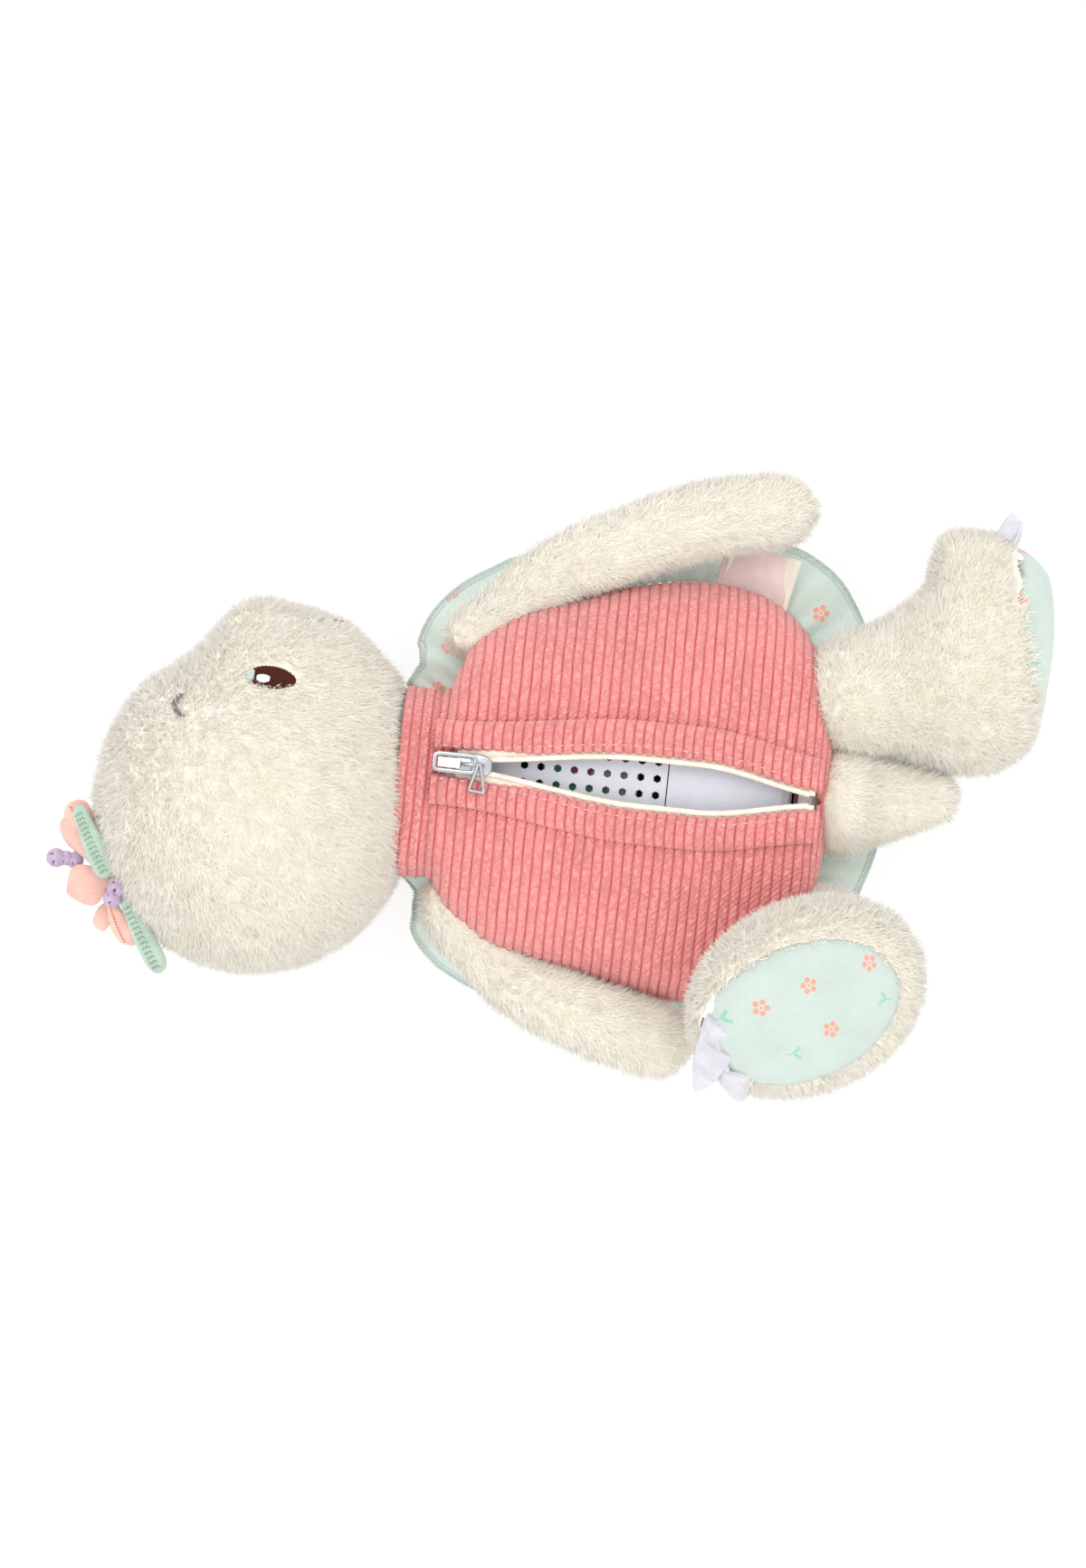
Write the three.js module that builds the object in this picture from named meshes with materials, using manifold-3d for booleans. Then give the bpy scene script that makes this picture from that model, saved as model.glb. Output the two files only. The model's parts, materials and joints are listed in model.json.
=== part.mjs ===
// Plush turtle night light, lying on its shell with the belly zip open.
// Millimetres, +Z up, +X from head to tail. Origin: middle of the flat that the shell rests on.
import * as THREE from 'three';
import { mergeVertices } from 'three/addons/utils/BufferGeometryUtils.js';
import Module from 'manifold-3d';

const wasm = await Module();
wasm.setup();

// Clearances
const SEAM_GAP = 0.3;
const SWING_GAP = 0.45;
const CUT = 1; // how far a cut reaches past the face it opens

// Light unit; its length sets the length of the trunk round it
const UNIT_LENGTH = 88;
const UNIT_WIDTH = 56;
const UNIT_THICKNESS = 30;
const UNIT_UNDER_BELLY = 5;
const UNIT_CORNER = 9;
const UNIT_EDGE = 3;
const UNIT_WALL = 2;
const UNIT_SPLIT = 12;
const POCKET_ROOM = 0.8;
const POCKET_FABRIC = 0.7;
const POCKET_EDGE = 1.5;
const POCKET_CORNER_EASE = 3;
const HOLE_DIAMETER = 2.3;
const HOLE_PITCH = 4.6;
const HOLE_COLUMNS = 9;
const HOLE_ROWS = 4;
const GRILLE_TO_DOOR = 3.1;
const GRILLE_SHIFT = -0.8;
const CELL_DIAMETER = 10.3;
const CELL_LENGTH = 44.4;
const CELL_GAP = 0.2;
const CELL_COUNT = 3;
const CELL_CAP = 0.6;
const NUB_HALF = 0.4;
const DOOR_MARGIN = 3;
const DOOR_GAP = 0.35;
const DOOR_STEP = 1;
const CELL_TO_DOOR = 0.6;
const CELL_TO_TRAY = 0.4;
const TRAY_FLOOR = 1.2;
const TRAY_SIDE = 1;
const TRAY_END = 1.5;
const TRAY_RIM = 1;
const CONTACT_ROOM = 2.6;
const CONTACT_THICKNESS = 0.4;
const CONTACT_REACH = 1.3; // share of the cells' pitch, to each side
const CONTACT_DROP = 3;
const CONTACT_RISE = 0.8;
const SPEAKER_DIAMETER = 27;
const SPEAKER_DEPTH = 8;
const SPEAKER_RIM = 2;
const SPEAKER_DISH = 1.2;
const BASKET_INSET = 6;
const MAGNET_HEIGHT = 3;
const BOARD_INSET = 6;
const BOARD_THICKNESS = 1.6;
const BOARD_TO_TRAY = 1.2;
const LED_DIAMETER = 5;
const LED_HEIGHT = 4;
const LED_REACH = 9;
const LENS_DIAMETER = 38;
const LENS_HEIGHT = 7;
const LENS_WALL = 1.6;
const LENS_FLANGE = 2.5;
const WELL_ROOM = 3;
const BUTTON_DIAMETER = 8;
const BUTTON_TRAVEL = 1.2;
const BUTTON_INSET = 8.4;
const BUTTON_RISE = 0.8;
const BUTTON_FLANGE = 0.6;
const BUTTON_STEM = 5;
const STEM_RADIUS = 1.5;
const SWITCH_SIZE = 6;
const SCREW_DIAMETER = 2.4; // its head is twice as wide
const SCREW_HEAD = 1.4;
const SCREW_SINK = 0.2;
const SCREW_PAST_BOSS = 1.2;
const SCREW_END_INSET = 9;
const SCREW_SIDE_INSET = 7;
const BOSS_DIAMETER = 6;
const BOSS_UNDER_SPLIT = 1;
const DOOR_SCREW_HEAD = 1.2;
const DOOR_SCREW_LENGTH = 4;
const DOOR_SCREW_END_INSET = 6.5;
const DOOR_SCREW_SIDE_INSET = 8;

// Trunk
const UNIT_TO_NECK = 9;
const UNIT_TO_TAIL = 12;
const TRUNK_WIDTH = 118;
const TRUNK_HEIGHT = 66;
const SEAM_HEIGHT = 36;
const FABRIC = 2;
const NECK_WIDTH = 55;
const NECK_HEIGHT = 44;
const NECK_SHIFT = -6.5;
const COLLAR_LENGTH = 9.4;
const FLAT_DEPTH = 0.5;

// Ruffle of the shell
const RUFFLE_WIDTH = 15.5;
const RUFFLE_THICKNESS = 1.6;
const RUFFLE_FOLDS = 13;
const RUFFLE_WAVE = 2.6;
const RUFFLE_SWELL = 2;
const RUFFLE_DROOP = 5;
const RUFFLE_DROP = 3;
const RUFFLE_APART = 0.4;

// Zip
const ZIP_TO_NECK = 7;
const ZIP_TO_TAIL = 6;
const ZIP_OPENING = 5.3;
const LIP_TO_NECK = 1;
const LIP_TO_TAIL = 2;
const LIP_OPENING_RUN = 54;
const LIP_CLOSING_RUN = 36;
const TAPE_WIDTH = 7.5;
const TAPE_THICKNESS = 0.5;
const TAPE_PAST_ZIP = 3.5;
const COIL_DIAMETER = 1.8;
const COIL_APART = 0.35;
const COIL_TO_END = 2;
const WELT_WIDTH = 9.5;
const WELT_THICKNESS = 2;
const WELT_SETBACK = 2.1;
const WELT_OVER_COIL = 0.1;
const WELT_SPREAD_START = 6;
const WELT_SPREAD_RUN = 14;
const WELT_TO_NECK = 0.5;
const WELT_PAST_ZIP = 1;
const SLIT_DEPTH = 14;
const SLIT_RISE = 8;
const SLIT_PAST_ZIP = 3;
const SLIDER_LENGTH = 11;
const SLIDER_WIDTH = 6.4;
const SLIDER_PLATE = 0.9;
const SLIDER_FROM_START = 1.5;
const SLIDER_CHANNEL_GAP = 0.25;
const WEDGE_WIDTH = 1.8;
const WEDGE_TO_COIL = 0.4;
const WEDGE_LAP = 0.1;
const ARCH_LENGTH = 6.4;
const ARCH_WIDTH = 1.5;
const ARCH_FOOT = 1.1;
const ARCH_RISE = 2;
const ARCH_BRIDGE = 0.8;
const PULL_LENGTH = 11.5;
const PULL_WIDTH = 5;
const PULL_THICKNESS = 1;
const PULL_PAST_PIN = 0.5;
const PULL_END_BAR = 1.6;
const PULL_SLOT_WIDTH = 2;
const PULL_SLOT_FROM_PIN = 6.2;
const CHEEK_GAP = 0.35;
const EYE_FROM_PIN = 4.4;
const EYE_PAST_PIN = 2;
const PIN_RADIUS = 0.55;
const STOP_LENGTH = 1.6;
const STOP_WIDTH = 4.4;
const STOP_WEB = 1.2;
const STOP_UNDER = 0.9;
const STOP_OVER = 1.1;
const STOP_SLOT = 1.1;

// Head
const HEAD_TO_COLLAR = 41.8;
const HEAD_SHIFT = -13;
const HEAD_HEIGHT = 46;
const SKULL_RADII = new THREE.Vector3(44.6, 47.6, 47.8);
const SKULL_SHIFT = new THREE.Vector3(0, -4, 0);
const SNOUT_RADII = new THREE.Vector3(34, 32, 30);
const SNOUT_SHIFT = new THREE.Vector3(6, 20, 0);
const EYE_LENGTH = 13;
const EYE_WIDTH = 9;
const EYE_AIM = new THREE.Vector3(3.5, 31, 30.5);
const BROW_LENGTH = 6;
const BROW_BULGE = 2.4;
const BROW_SLOPE = 1.5;
const BROW_AIM = new THREE.Vector3(-22, 20, 32);
const MOUTH_HALF = 13;
const MOUTH_BEND = 5;
const MOUTH_AIM = new THREE.Vector3(17, 46, 0);
const THREAD = 1;
const EMBROIDERY = 0.8;

// Limbs
const ARM_RADIUS = 10;
const ARM_HEIGHT = 51;
const ARM_FLATNESS = 0.86;
const SHOULDER_FROM_NECK = { left: 11, right: 12 };
const SHOULDER_INSET = { left: 18.5, right: 12.5 };
const LEG_RADIUS = 17;
const HIP_HEIGHT = 50;
const HIP_PAST_END = { left: 5, right: -2 };
const HIP_INSET = { left: 28.5, right: 15.5 };
const SHIN_REACH = 29;
const SHIN_WIDER = 1.5;
const SHIN_FLATTER = 0.5;
const SHIN_SHIFT = new THREE.Vector3(-18, -11, 0);
const FOOT_RADII = new THREE.Vector3(25, 34, 25.5);
const FOOT_REACH = 31.5;
const FOOT_SHIFT = 1;
const TOE_REACH = 14;
const SOLE_REACH = 17.5;
const SOLE_LENGTH = 60;
const SOLE_WIDTH = 42;
const SOLE_THICKNESS = 1.2;
const CLAW_LENGTH = 9.2;
const CLAW_WIDTH = 8;
const CLAW_THICKNESS = 2;
const CLAW_BAND = 1.1;
const TAIL_LENGTH = 28;
const TAIL_RADIUS = 10;
const TAIL_HEIGHT = 48;
const TAIL_SHIFT = 1.5;
const TAIL_ROOT_OUT = 3;

// Crown trim
const FLOWER_RADIUS = 12;
const FLOWER_CUP = 0.42; // depth as a share of its radius
const FLOWER_ROOM = 0.6;
const LEAF_LENGTH = 20;
const LEAF_WIDTH = 10;
const LEAF_CUP = 2;
const LEAF_ROOT_BACK = 4;
const LEAF_TIP_AHEAD = 12;
const LEAF_TIP_RISE = 4;
const BUD_RADIUS = 3.6;
const FELT = 1.4;

// Care label
const LABEL_WIDTH = 20;
const LABEL_LENGTH = 17;
const LABEL_THICKNESS = 0.5;
const LABEL_TUCK = 2;
const LABEL_FROM_END = 29;
const LABEL_INSET = 5;
const LABEL_RISE = 2.6;
const LABEL_BACK_SHIFT = 1.5;

// Lengths that follow from those above
const trunkFront = -UNIT_LENGTH / 2 - UNIT_TO_NECK;
const trunkLength = UNIT_TO_NECK + UNIT_LENGTH + UNIT_TO_TAIL;
const trunkEnd = trunkFront + trunkLength;
const collarBack = trunkFront - SEAM_GAP;
const collarFront = collarBack - COLLAR_LENGTH;
const zipStart = trunkFront + ZIP_TO_NECK;
const zipEnd = trunkEnd - ZIP_TO_TAIL;
const unitTop = TRUNK_HEIGHT - UNIT_UNDER_BELLY;
const unitBottom = unitTop - UNIT_THICKNESS;
const headCentre = new THREE.Vector3(collarFront - HEAD_TO_COLLAR, HEAD_SHIFT, HEAD_HEIGHT);
const SIDES = { left: 1, right: -1 };

// Colours
const CREAM = 0xf0ead9;
const CORAL = 0xe1848a;
const MINT = 0xd9e9e3;
const LIP_CREAM = 0xefe6cf;
const METAL = 0xb9bcc0;
const WHITE = 0xe9edf2;
const DARK = 0x2b2f33;
const LINING = 0xc9878a;
const WADDING = 0xf4f2ec;
const BROWN = 0x46190f;
const GREY = 0x8b7f8d;
const PETAL = 0xf0b4a5;
const LILAC = 0xc8b0cd;
const SAGE = 0xb2ceb6;
const FELT_WHITE = 0xf3f3ee;
const SATIN = 0xe4cfce;
const CREAM_TAPE = 0xe8e0d0;
const TRAY_GREY = 0xd9dde2;
const CELL_GREEN = 0x4a5a52;
const BOARD_GREEN = 0x2f6b4a;
const CLEAR = 0xfaf6e8;
const PEACH = 0xf0c9b8;
const MILK = 0xf6f4ee;

const group = new THREE.Group();

// Adds one named piece.
function add(name, geometry, colour, roughness = 0.9, metalness = 0) {
  const material = new THREE.MeshStandardMaterial({ color: colour, roughness, metalness });
  const mesh = new THREE.Mesh(geometry, material);
  mesh.name = name;
  group.add(mesh);
  return mesh;
}

// Closed geometry to a solid for cutting and joining.
function solidOf(geometry) {
  const bare = geometry.clone();
  bare.deleteAttribute('normal');
  bare.deleteAttribute('uv');
  const merged = mergeVertices(bare, 1e-4);
  const mesh = new wasm.Mesh({
    numProp: 3,
    vertProperties: new Float32Array(merged.attributes.position.array),
    triVerts: new Uint32Array(merged.index.array),
  });
  return new wasm.Manifold(mesh);
}

function geometryOf(solid) {
  const mesh = solid.getMesh();
  const geometry = new THREE.BufferGeometry();
  geometry.setAttribute('position', new THREE.BufferAttribute(new Float32Array(mesh.vertProperties), 3));
  geometry.setIndex(new THREE.BufferAttribute(new Uint32Array(mesh.triVerts), 1));
  geometry.computeVertexNormals();
  return geometry;
}

// Skin over rings of points, closed at both ends; faces are turned to point out.
function skin(rings) {
  const count = rings[0].length;
  const points = rings.flat();
  const first = points.push(centreOf(rings[0])) - 1;
  const last = points.push(centreOf(rings[rings.length - 1])) - 1;
  const faces = [];
  for (let j = 0; j < count; j++) {
    const next = (j + 1) % count;
    for (let i = 0; i + 1 < rings.length; i++) {
      const a = i * count;
      const b = a + count;
      faces.push(a + j, a + next, b + next, a + j, b + next, b + j);
    }
    const end = (rings.length - 1) * count;
    faces.push(first, next, j, last, end + j, end + next);
  }
  let volume = 0;
  for (let k = 0; k < faces.length; k += 3) {
    const [a, b, c] = [points[faces[k]], points[faces[k + 1]], points[faces[k + 2]]];
    volume += a.dot(new THREE.Vector3().crossVectors(b, c));
  }
  if (volume < 0) {
    for (let k = 0; k < faces.length; k += 3) {
      [faces[k + 1], faces[k + 2]] = [faces[k + 2], faces[k + 1]];
    }
  }
  const geometry = new THREE.BufferGeometry().setFromPoints(points);
  geometry.setIndex(faces);
  return geometry;
}

function centreOf(ring) {
  const centre = new THREE.Vector3();
  ring.forEach((point) => centre.add(point));
  return centre.divideScalar(ring.length);
}

// Box from its lowest corner to its highest.
function block(low, high) {
  const size = high.map((value, axis) => value - low[axis]);
  const middle = high.map((value, axis) => (value + low[axis]) / 2);
  return solidOf(new THREE.BoxGeometry(...size).translate(...middle));
}

// Upright cylinder, or one along another axis ('x' or 'y').
function rod(radius, from, to, [a, b] = [0, 0], axis = 'z', sides = 20) {
  const geometry = new THREE.CylinderGeometry(radius, radius, to - from, sides);
  const middle = (from + to) / 2;
  if (axis === 'z') return solidOf(geometry.rotateX(Math.PI / 2).translate(a, b, middle));
  if (axis === 'y') return solidOf(geometry.translate(a, middle, b));
  return solidOf(geometry.rotateZ(Math.PI / 2).translate(middle, a, b));
}

const BALL_SIDES = 14;
function ball(radius, centre, sides = BALL_SIDES) {
  return solidOf(new THREE.SphereGeometry(radius, sides, sides / 2).translate(centre.x, centre.y, centre.z));
}

// Room in which a ball can turn: even its flattest places keep the swing gap.
function ballRoom(radius, centre) {
  return ball((radius + SWING_GAP) / Math.cos(Math.PI / BALL_SIDES) ** 2, centre);
}

function join(solids) {
  return solids.reduce((sum, solid) => sum.add(solid));
}

const smoothstep = (t) => {
  const s = THREE.MathUtils.clamp(t, 0, 1);
  return s * s * (3 - 2 * s);
};

// Point of a superellipse at an angle: sign and size of each axis's share.
const share = (value, power) => Math.sign(value) * Math.abs(value) ** (2 / power);

// Trunk: plan stations as [place along the length, half width, middle], side stations as [place, top, bottom]
const PLAN_STATIONS = [
  [0, NECK_WIDTH / TRUNK_WIDTH, NECK_SHIFT],
  [0.05, 0.66, -3.6],
  [0.147, 0.79, -3],
  [0.285, 0.87, -2],
  [0.44, 0.95, -1],
  [0.6, 1, -1],
  [0.745, 0.98, -1],
  [0.855, 0.88, -1],
  [0.925, 0.71, 0],
  [0.972, 0.46, 0],
  [0.995, 0.22, 0],
  [1, 0.02, 0],
];
const SIDE_STATIONS = [
  [1, (TRUNK_HEIGHT - NECK_HEIGHT) / TRUNK_HEIGHT],
  [1, 0.17],
  [1, 0.05],
  [1, 0],
  [1, 0],
  [1, 0],
  [1, 0],
  [1, 0.03],
  [0.985, 0.12],
  [0.91, 0.26],
  [0.78, 0.4],
  [0.6, 0.5],
];
const BELLY_ROUNDNESS = 3;
const SHELL_ROUNDNESS = 2.3;
const SHELL_LEAST_FALL = 2;
const LEAST_HALF = 0.3;
const LEAST_RISE = 0.2;
const trunkX = (place) => trunkFront + trunkLength * place;
const planCurve = new THREE.CatmullRomCurve3(
  PLAN_STATIONS.map(([place, half, middle]) => new THREE.Vector3(
    trunkX(place), half * TRUNK_WIDTH / 2, middle)),
  false, 'catmullrom', 0.5);
const sideCurve = new THREE.CatmullRomCurve3(
  SIDE_STATIONS.map(([top, bottom], index) => new THREE.Vector3(
    trunkX(PLAN_STATIONS[index][0]), top * TRUNK_HEIGHT, bottom * TRUNK_HEIGHT)),
  false, 'catmullrom', 0.5);

// One cross-section of the trunk, drawn in by inset all round.
function trunkRing(t, inset, sides) {
  const plan = planCurve.getPoint(t);
  const side = sideCurve.getPoint(t);
  const half = Math.max(plan.y - inset, LEAST_HALF);
  const rise = Math.max(side.y - SEAM_HEIGHT - inset, LEAST_RISE);
  const fall = Math.max(SEAM_HEIGHT + FLAT_DEPTH - Math.max(side.z, 0) - inset, SHELL_LEAST_FALL);
  const x = trunkFront + (plan.x - trunkFront) * (trunkLength - inset) / trunkLength;
  const ring = [];
  for (let k = 0; k < sides; k++) {
    const angle = (k / sides) * 2 * Math.PI;
    const upper = Math.sin(angle) >= 0;
    const power = upper ? BELLY_ROUNDNESS : SHELL_ROUNDNESS;
    const y = plan.z + half * share(Math.cos(angle), power);
    const z = SEAM_HEIGHT + (upper ? rise : fall) * share(Math.sin(angle), power);
    ring.push(new THREE.Vector3(x, y, z));
  }
  return ring;
}

const TRUNK_RINGS = 12;
const TRUNK_SIDES = 20;
function trunkSolid(inset, lead = 0) {
  const rings = [];
  for (let i = 0; i <= TRUNK_RINGS; i++) rings.push(trunkRing(i / TRUNK_RINGS, inset, TRUNK_SIDES));
  if (lead > 0) rings.unshift(rings[0].map((point) => point.clone().setX(point.x - lead)));
  return solidOf(skin(rings));
}

// Height of the belly's surface on its middle line, along the same straight runs as the trunk's rings.
const bellyLine = [];
for (let i = 0; i <= TRUNK_RINGS; i++) {
  const side = sideCurve.getPoint(i / TRUNK_RINGS);
  bellyLine.push([side.x, side.y]);
}
function bellyTop(x) {
  const next = bellyLine.findIndex(([place]) => place >= x);
  if (next < 1) return bellyLine[0][1];
  const [[x0, z0], [x1, z1]] = [bellyLine[next - 1], bellyLine[next]];
  return z0 + ((z1 - z0) * (x - x0)) / (x1 - x0);
}

// Zip: half the opening at x, as the lips lie; they close by the same share at every place
const lipStart = trunkFront + LIP_TO_NECK;
const lipFull = lipStart + LIP_OPENING_RUN;
const lipShut = trunkEnd - LIP_TO_TAIL;
const lipEase = lipShut - LIP_CLOSING_RUN;
function lipShare(x) {
  const rise = smoothstep((x - lipStart) / LIP_OPENING_RUN);
  const fall = 1 - smoothstep((x - lipEase) / LIP_CLOSING_RUN);
  return x < (lipFull + lipEase) / 2 ? rise : fall;
}
const lipEdge = (x) => COIL_APART + ZIP_OPENING * lipShare(x);
const sliderRoom = SLIDER_WIDTH / 2 + 2 * SEAM_GAP;
const tapeRise = SEAM_GAP + TAPE_THICKNESS / 2;
const tapeLevel = TRUNK_HEIGHT + tapeRise;

// Strip along one lip: sections are lists of [outward, up] made for each x.
const LEAST_STEP = 0.6;
function lipStrip(from, to, side, steps, section) {
  const rings = [];
  const inner = (place) => place > from + LEAST_STEP && place < to - LEAST_STEP;
  const places = bellyLine.map(([place]) => place).filter(inner);
  for (let i = 0; i <= steps; i++) {
    const x = from + ((to - from) * i) / steps;
    if (places.every((place) => Math.abs(place - x) > LEAST_STEP)) places.push(x);
  }
  for (const x of places.sort((a, b) => a - b)) {
    rings.push(section(x).map(([out, up]) => new THREE.Vector3(x, side * out, bellyTop(x) + up)));
  }
  return skin(rings);
}

function tapeSection(x) {
  const half = TAPE_THICKNESS / 2;
  const inner = lipEdge(x) + COIL_DIAMETER / 2;
  const outer = inner + TAPE_WIDTH;
  const [low, high] = [tapeRise - half, tapeRise + half];
  return [[inner, low], [outer, low], [outer, high], [inner, high]];
}

const COIL_SIDES = 6;
function coilSection(x) {
  const section = [];
  const radius = COIL_DIAMETER / 2;
  for (let k = 0; k < COIL_SIDES; k++) {
    const angle = (k / COIL_SIDES) * 2 * Math.PI;
    section.push([lipEdge(x) + radius + radius * Math.cos(angle), tapeRise + radius * Math.sin(angle)]);
  }
  return section;
}

const weltRise = tapeRise + COIL_DIAMETER / 2 + WELT_OVER_COIL;
const WELT_ROUNDING = 0.4;
function weltInner(x) {
  const spread = Math.max(sliderRoom - COIL_APART - WELT_SETBACK, 0);
  const narrowing = smoothstep((x - zipStart - WELT_SPREAD_START) / WELT_SPREAD_RUN);
  return lipEdge(x) + WELT_SETBACK + spread * (1 - narrowing);
}
function weltSection(x) {
  const inner = weltInner(x);
  const outer = lipEdge(x) + WELT_SETBACK + WELT_WIDTH;
  const low = weltRise;
  const high = weltRise + WELT_THICKNESS;
  const round = WELT_THICKNESS * WELT_ROUNDING;
  return [
    [inner, low], [outer, low], [outer, high - 2 * round], [outer - round, high - 0.4 * round],
    [inner + 2 * round, high], [inner + 0.4 * round, high - 0.5 * round],
  ];
}

// Room between the two belly panels, cut right through.
function slitSolid(steps = 14) {
  const from = trunkFront - CUT;
  const to = zipEnd + SLIT_PAST_ZIP;
  const rings = [];
  for (let i = 0; i <= steps; i++) {
    const x = from + ((to - from) * i) / steps;
    const half = Math.max(lipEdge(x) + COIL_DIAMETER, sliderRoom) + SEAM_GAP;
    rings.push([[half, -SLIT_DEPTH], [half, SLIT_RISE], [-half, SLIT_RISE], [-half, -SLIT_DEPTH]].map(
      ([y, up]) => new THREE.Vector3(x, y, TRUNK_HEIGHT + up)));
  }
  return solidOf(skin(rings));
}

// Rounded form seen from its own centre: the smooth outer hull of two ellipsoids.
const SHARPNESS = 9;
const FULLNESS = 0.35;
function blob(centre, parts, place = new THREE.Matrix4(), flats = []) {
  const reach = (direction) => {
    let sum = 0;
    for (const { shift, radii } of parts) {
      const d = direction.clone().divide(radii);
      const o = shift.clone().divide(radii);
      const dd = d.lengthSq();
      const dot = d.dot(o);
      const root = dot * dot - dd * (o.lengthSq() - 1);
      sum += ((dot + Math.sqrt(Math.max(root, 0))) / dd) ** SHARPNESS;
    }
    const full = sum ** (1 / SHARPNESS) / parts.length ** (FULLNESS / SHARPNESS);
    let limit = full ** -SHARPNESS;
    for (const { normal, distance } of flats) {
      limit += (Math.max(direction.dot(normal), 0) / distance) ** SHARPNESS;
    }
    return limit ** (-1 / SHARPNESS);
  };
  const point = (direction, lift = 0) => {
    const unit = direction.clone().normalize();
    return unit.multiplyScalar(reach(unit) + lift).add(centre).applyMatrix4(place);
  };
  return { point, centre: centre.clone().applyMatrix4(place) };
}

// Skin of a blob, with poles on its local x axis.
const POLE_EASE = 0.04;
function blobSolid(form, lift = 0, rings = 12, sides = 18) {
  const rows = [];
  for (let i = 0; i <= rings; i++) {
    const polar = THREE.MathUtils.clamp((i / rings) * Math.PI, POLE_EASE, Math.PI - POLE_EASE);
    const row = [];
    for (let k = 0; k < sides; k++) {
      const turn = (k / sides) * 2 * Math.PI;
      const direction = new THREE.Vector3(
        -Math.cos(polar), Math.sin(polar) * Math.cos(turn), Math.sin(polar) * Math.sin(turn));
      row.push(form.point(direction, lift));
    }
    rows.push(row);
  }
  return solidOf(skin(rows));
}

const PATCH_LIFT = 2 * SEAM_GAP;

// Thin patch lying on a blob round an aim direction; outline gives the reach at each turn.
function patch(form, aim, up, outline, [low, high], rings = 2, sides = 14) {
  const forward = aim.clone().normalize();
  const across = new THREE.Vector3().crossVectors(up, forward).normalize();
  const upright = new THREE.Vector3().crossVectors(forward, across);
  const layer = (lift) => {
    const rows = [];
    for (let i = 1; i <= rings; i++) {
      const row = [];
      for (let k = 0; k < sides; k++) {
        const [a, b] = outline((k / sides) * 2 * Math.PI);
        const direction = forward.clone()
          .addScaledVector(across, (a * i) / rings)
          .addScaledVector(upright, (b * i) / rings);
        row.push(form.point(direction, lift));
      }
      rows.push(row);
    }
    return rows;
  };
  return skin([...layer(low), ...layer(high).reverse()]);
}

// Body swept along a path with its own half width and half height at each step, round at both ends.
function sweep(path, halfWidth, flatness, steps = 12, sides = 12, up = new THREE.Vector3(0, 0, 1)) {
  const rings = [];
  for (let i = 0; i <= steps; i++) {
    const t = i / steps;
    const centre = path.getPoint(t);
    const tangent = path.getTangent(t);
    const side = new THREE.Vector3().crossVectors(up, tangent).normalize();
    const over = new THREE.Vector3().crossVectors(tangent, side);
    const half = halfWidth(t);
    const ring = [];
    for (let k = 0; k < sides; k++) {
      const turn = (k / sides) * 2 * Math.PI;
      ring.push(centre.clone()
        .addScaledVector(side, half * Math.cos(turn))
        .addScaledVector(over, half * flatness * Math.sin(turn)));
    }
    rings.push(ring);
  }
  return skin(rings);
}

// Width profile with round ends: swells from the root, full to the tip.
const SWELL_RATE = 1.6;
const ROOT_SHARE = 0.06;
const END_LEAST = 0.006;
const roundEnd = (depth) => Math.sqrt(Math.max(1 - Math.max(depth, 0) ** 2, END_LEAST));
function limbProfile(root, full, endShare) {
  return (t) => {
    const body = THREE.MathUtils.lerp(root, full, smoothstep(t * SWELL_RATE));
    return body * roundEnd((t - 1 + endShare) / endShare) * roundEnd((ROOT_SHARE - t) / ROOT_SHARE);
  };
}

// Arms; the steps of their middle lines run from the shoulder along x, y and z
const shoulders = {};
for (const [name, side] of Object.entries(SIDES)) {
  shoulders[name] = new THREE.Vector3(
    trunkFront + SHOULDER_FROM_NECK[name], side * (TRUNK_WIDTH / 2 - SHOULDER_INSET[name]), ARM_HEIGHT);
}
const ARM_STEPS = {
  left: [[-3, -4, 0], [12, 13, 0], [32, 24.5, 0], [54, 34, -0.5], [72, 38.2, -1], [86, 40, -1.5]],
  right: [[-2, 4, 0], [10, -9.5, 0], [26, -17, 0], [43, -21.7, 0], [54, -24.3, -0.5], [65, -26.5, -1]],
};
const ARM_ROOT_SHARE = 0.9;
const ARM_FULL_SHARE = 1.06;
const ARM_END_SHARE = 0.22;
function armSolid(side) {
  const points = ARM_STEPS[side].map((step) => new THREE.Vector3(...step).add(shoulders[side]));
  const profile = limbProfile(ARM_RADIUS * ARM_ROOT_SHARE, ARM_RADIUS * ARM_FULL_SHARE, ARM_END_SHARE);
  return solidOf(sweep(new THREE.CatmullRomCurve3(points), profile, ARM_FLATNESS));
}

// Legs: made pointing along +x with the toes towards +y, then turned at the hip
const shinRadii = new THREE.Vector3(SHIN_REACH, LEG_RADIUS + SHIN_WIDER, LEG_RADIUS - SHIN_FLATTER);
const LEG_FORM = {
  centre: new THREE.Vector3(FOOT_REACH, TOE_REACH, 0),
  parts: [
    { shift: new THREE.Vector3(0, FOOT_SHIFT, 0), radii: FOOT_RADII },
    { shift: SHIN_SHIFT, radii: shinRadii },
  ],
  flats: [{ normal: new THREE.Vector3(1, 0, 0), distance: SOLE_REACH }],
};
const hips = {};
for (const [name, side] of Object.entries(SIDES)) {
  hips[name] = new THREE.Vector3(
    trunkEnd + HIP_PAST_END[name], side * (TRUNK_WIDTH / 2 - HIP_INSET[name]), HIP_HEIGHT);
}
function basis(origin, along, toes) {
  const x = along.clone().normalize();
  const y = toes.clone().addScaledVector(x, -toes.dot(x)).normalize();
  const z = new THREE.Vector3().crossVectors(x, y);
  return new THREE.Matrix4().makeBasis(x, y, z).setPosition(origin);
}
const LEG_AIMS = {
  left: [new THREE.Vector3(1, 0, 0), new THREE.Vector3(0, 1, 0)],
  right: [new THREE.Vector3(0.264, -0.15, 0.95), new THREE.Vector3(-0.877, -0.481, 0.157)],
};
const LEG_PLACES = {
  left: basis(hips.left, ...LEG_AIMS.left),
  right: basis(hips.right, ...LEG_AIMS.right),
};
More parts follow.
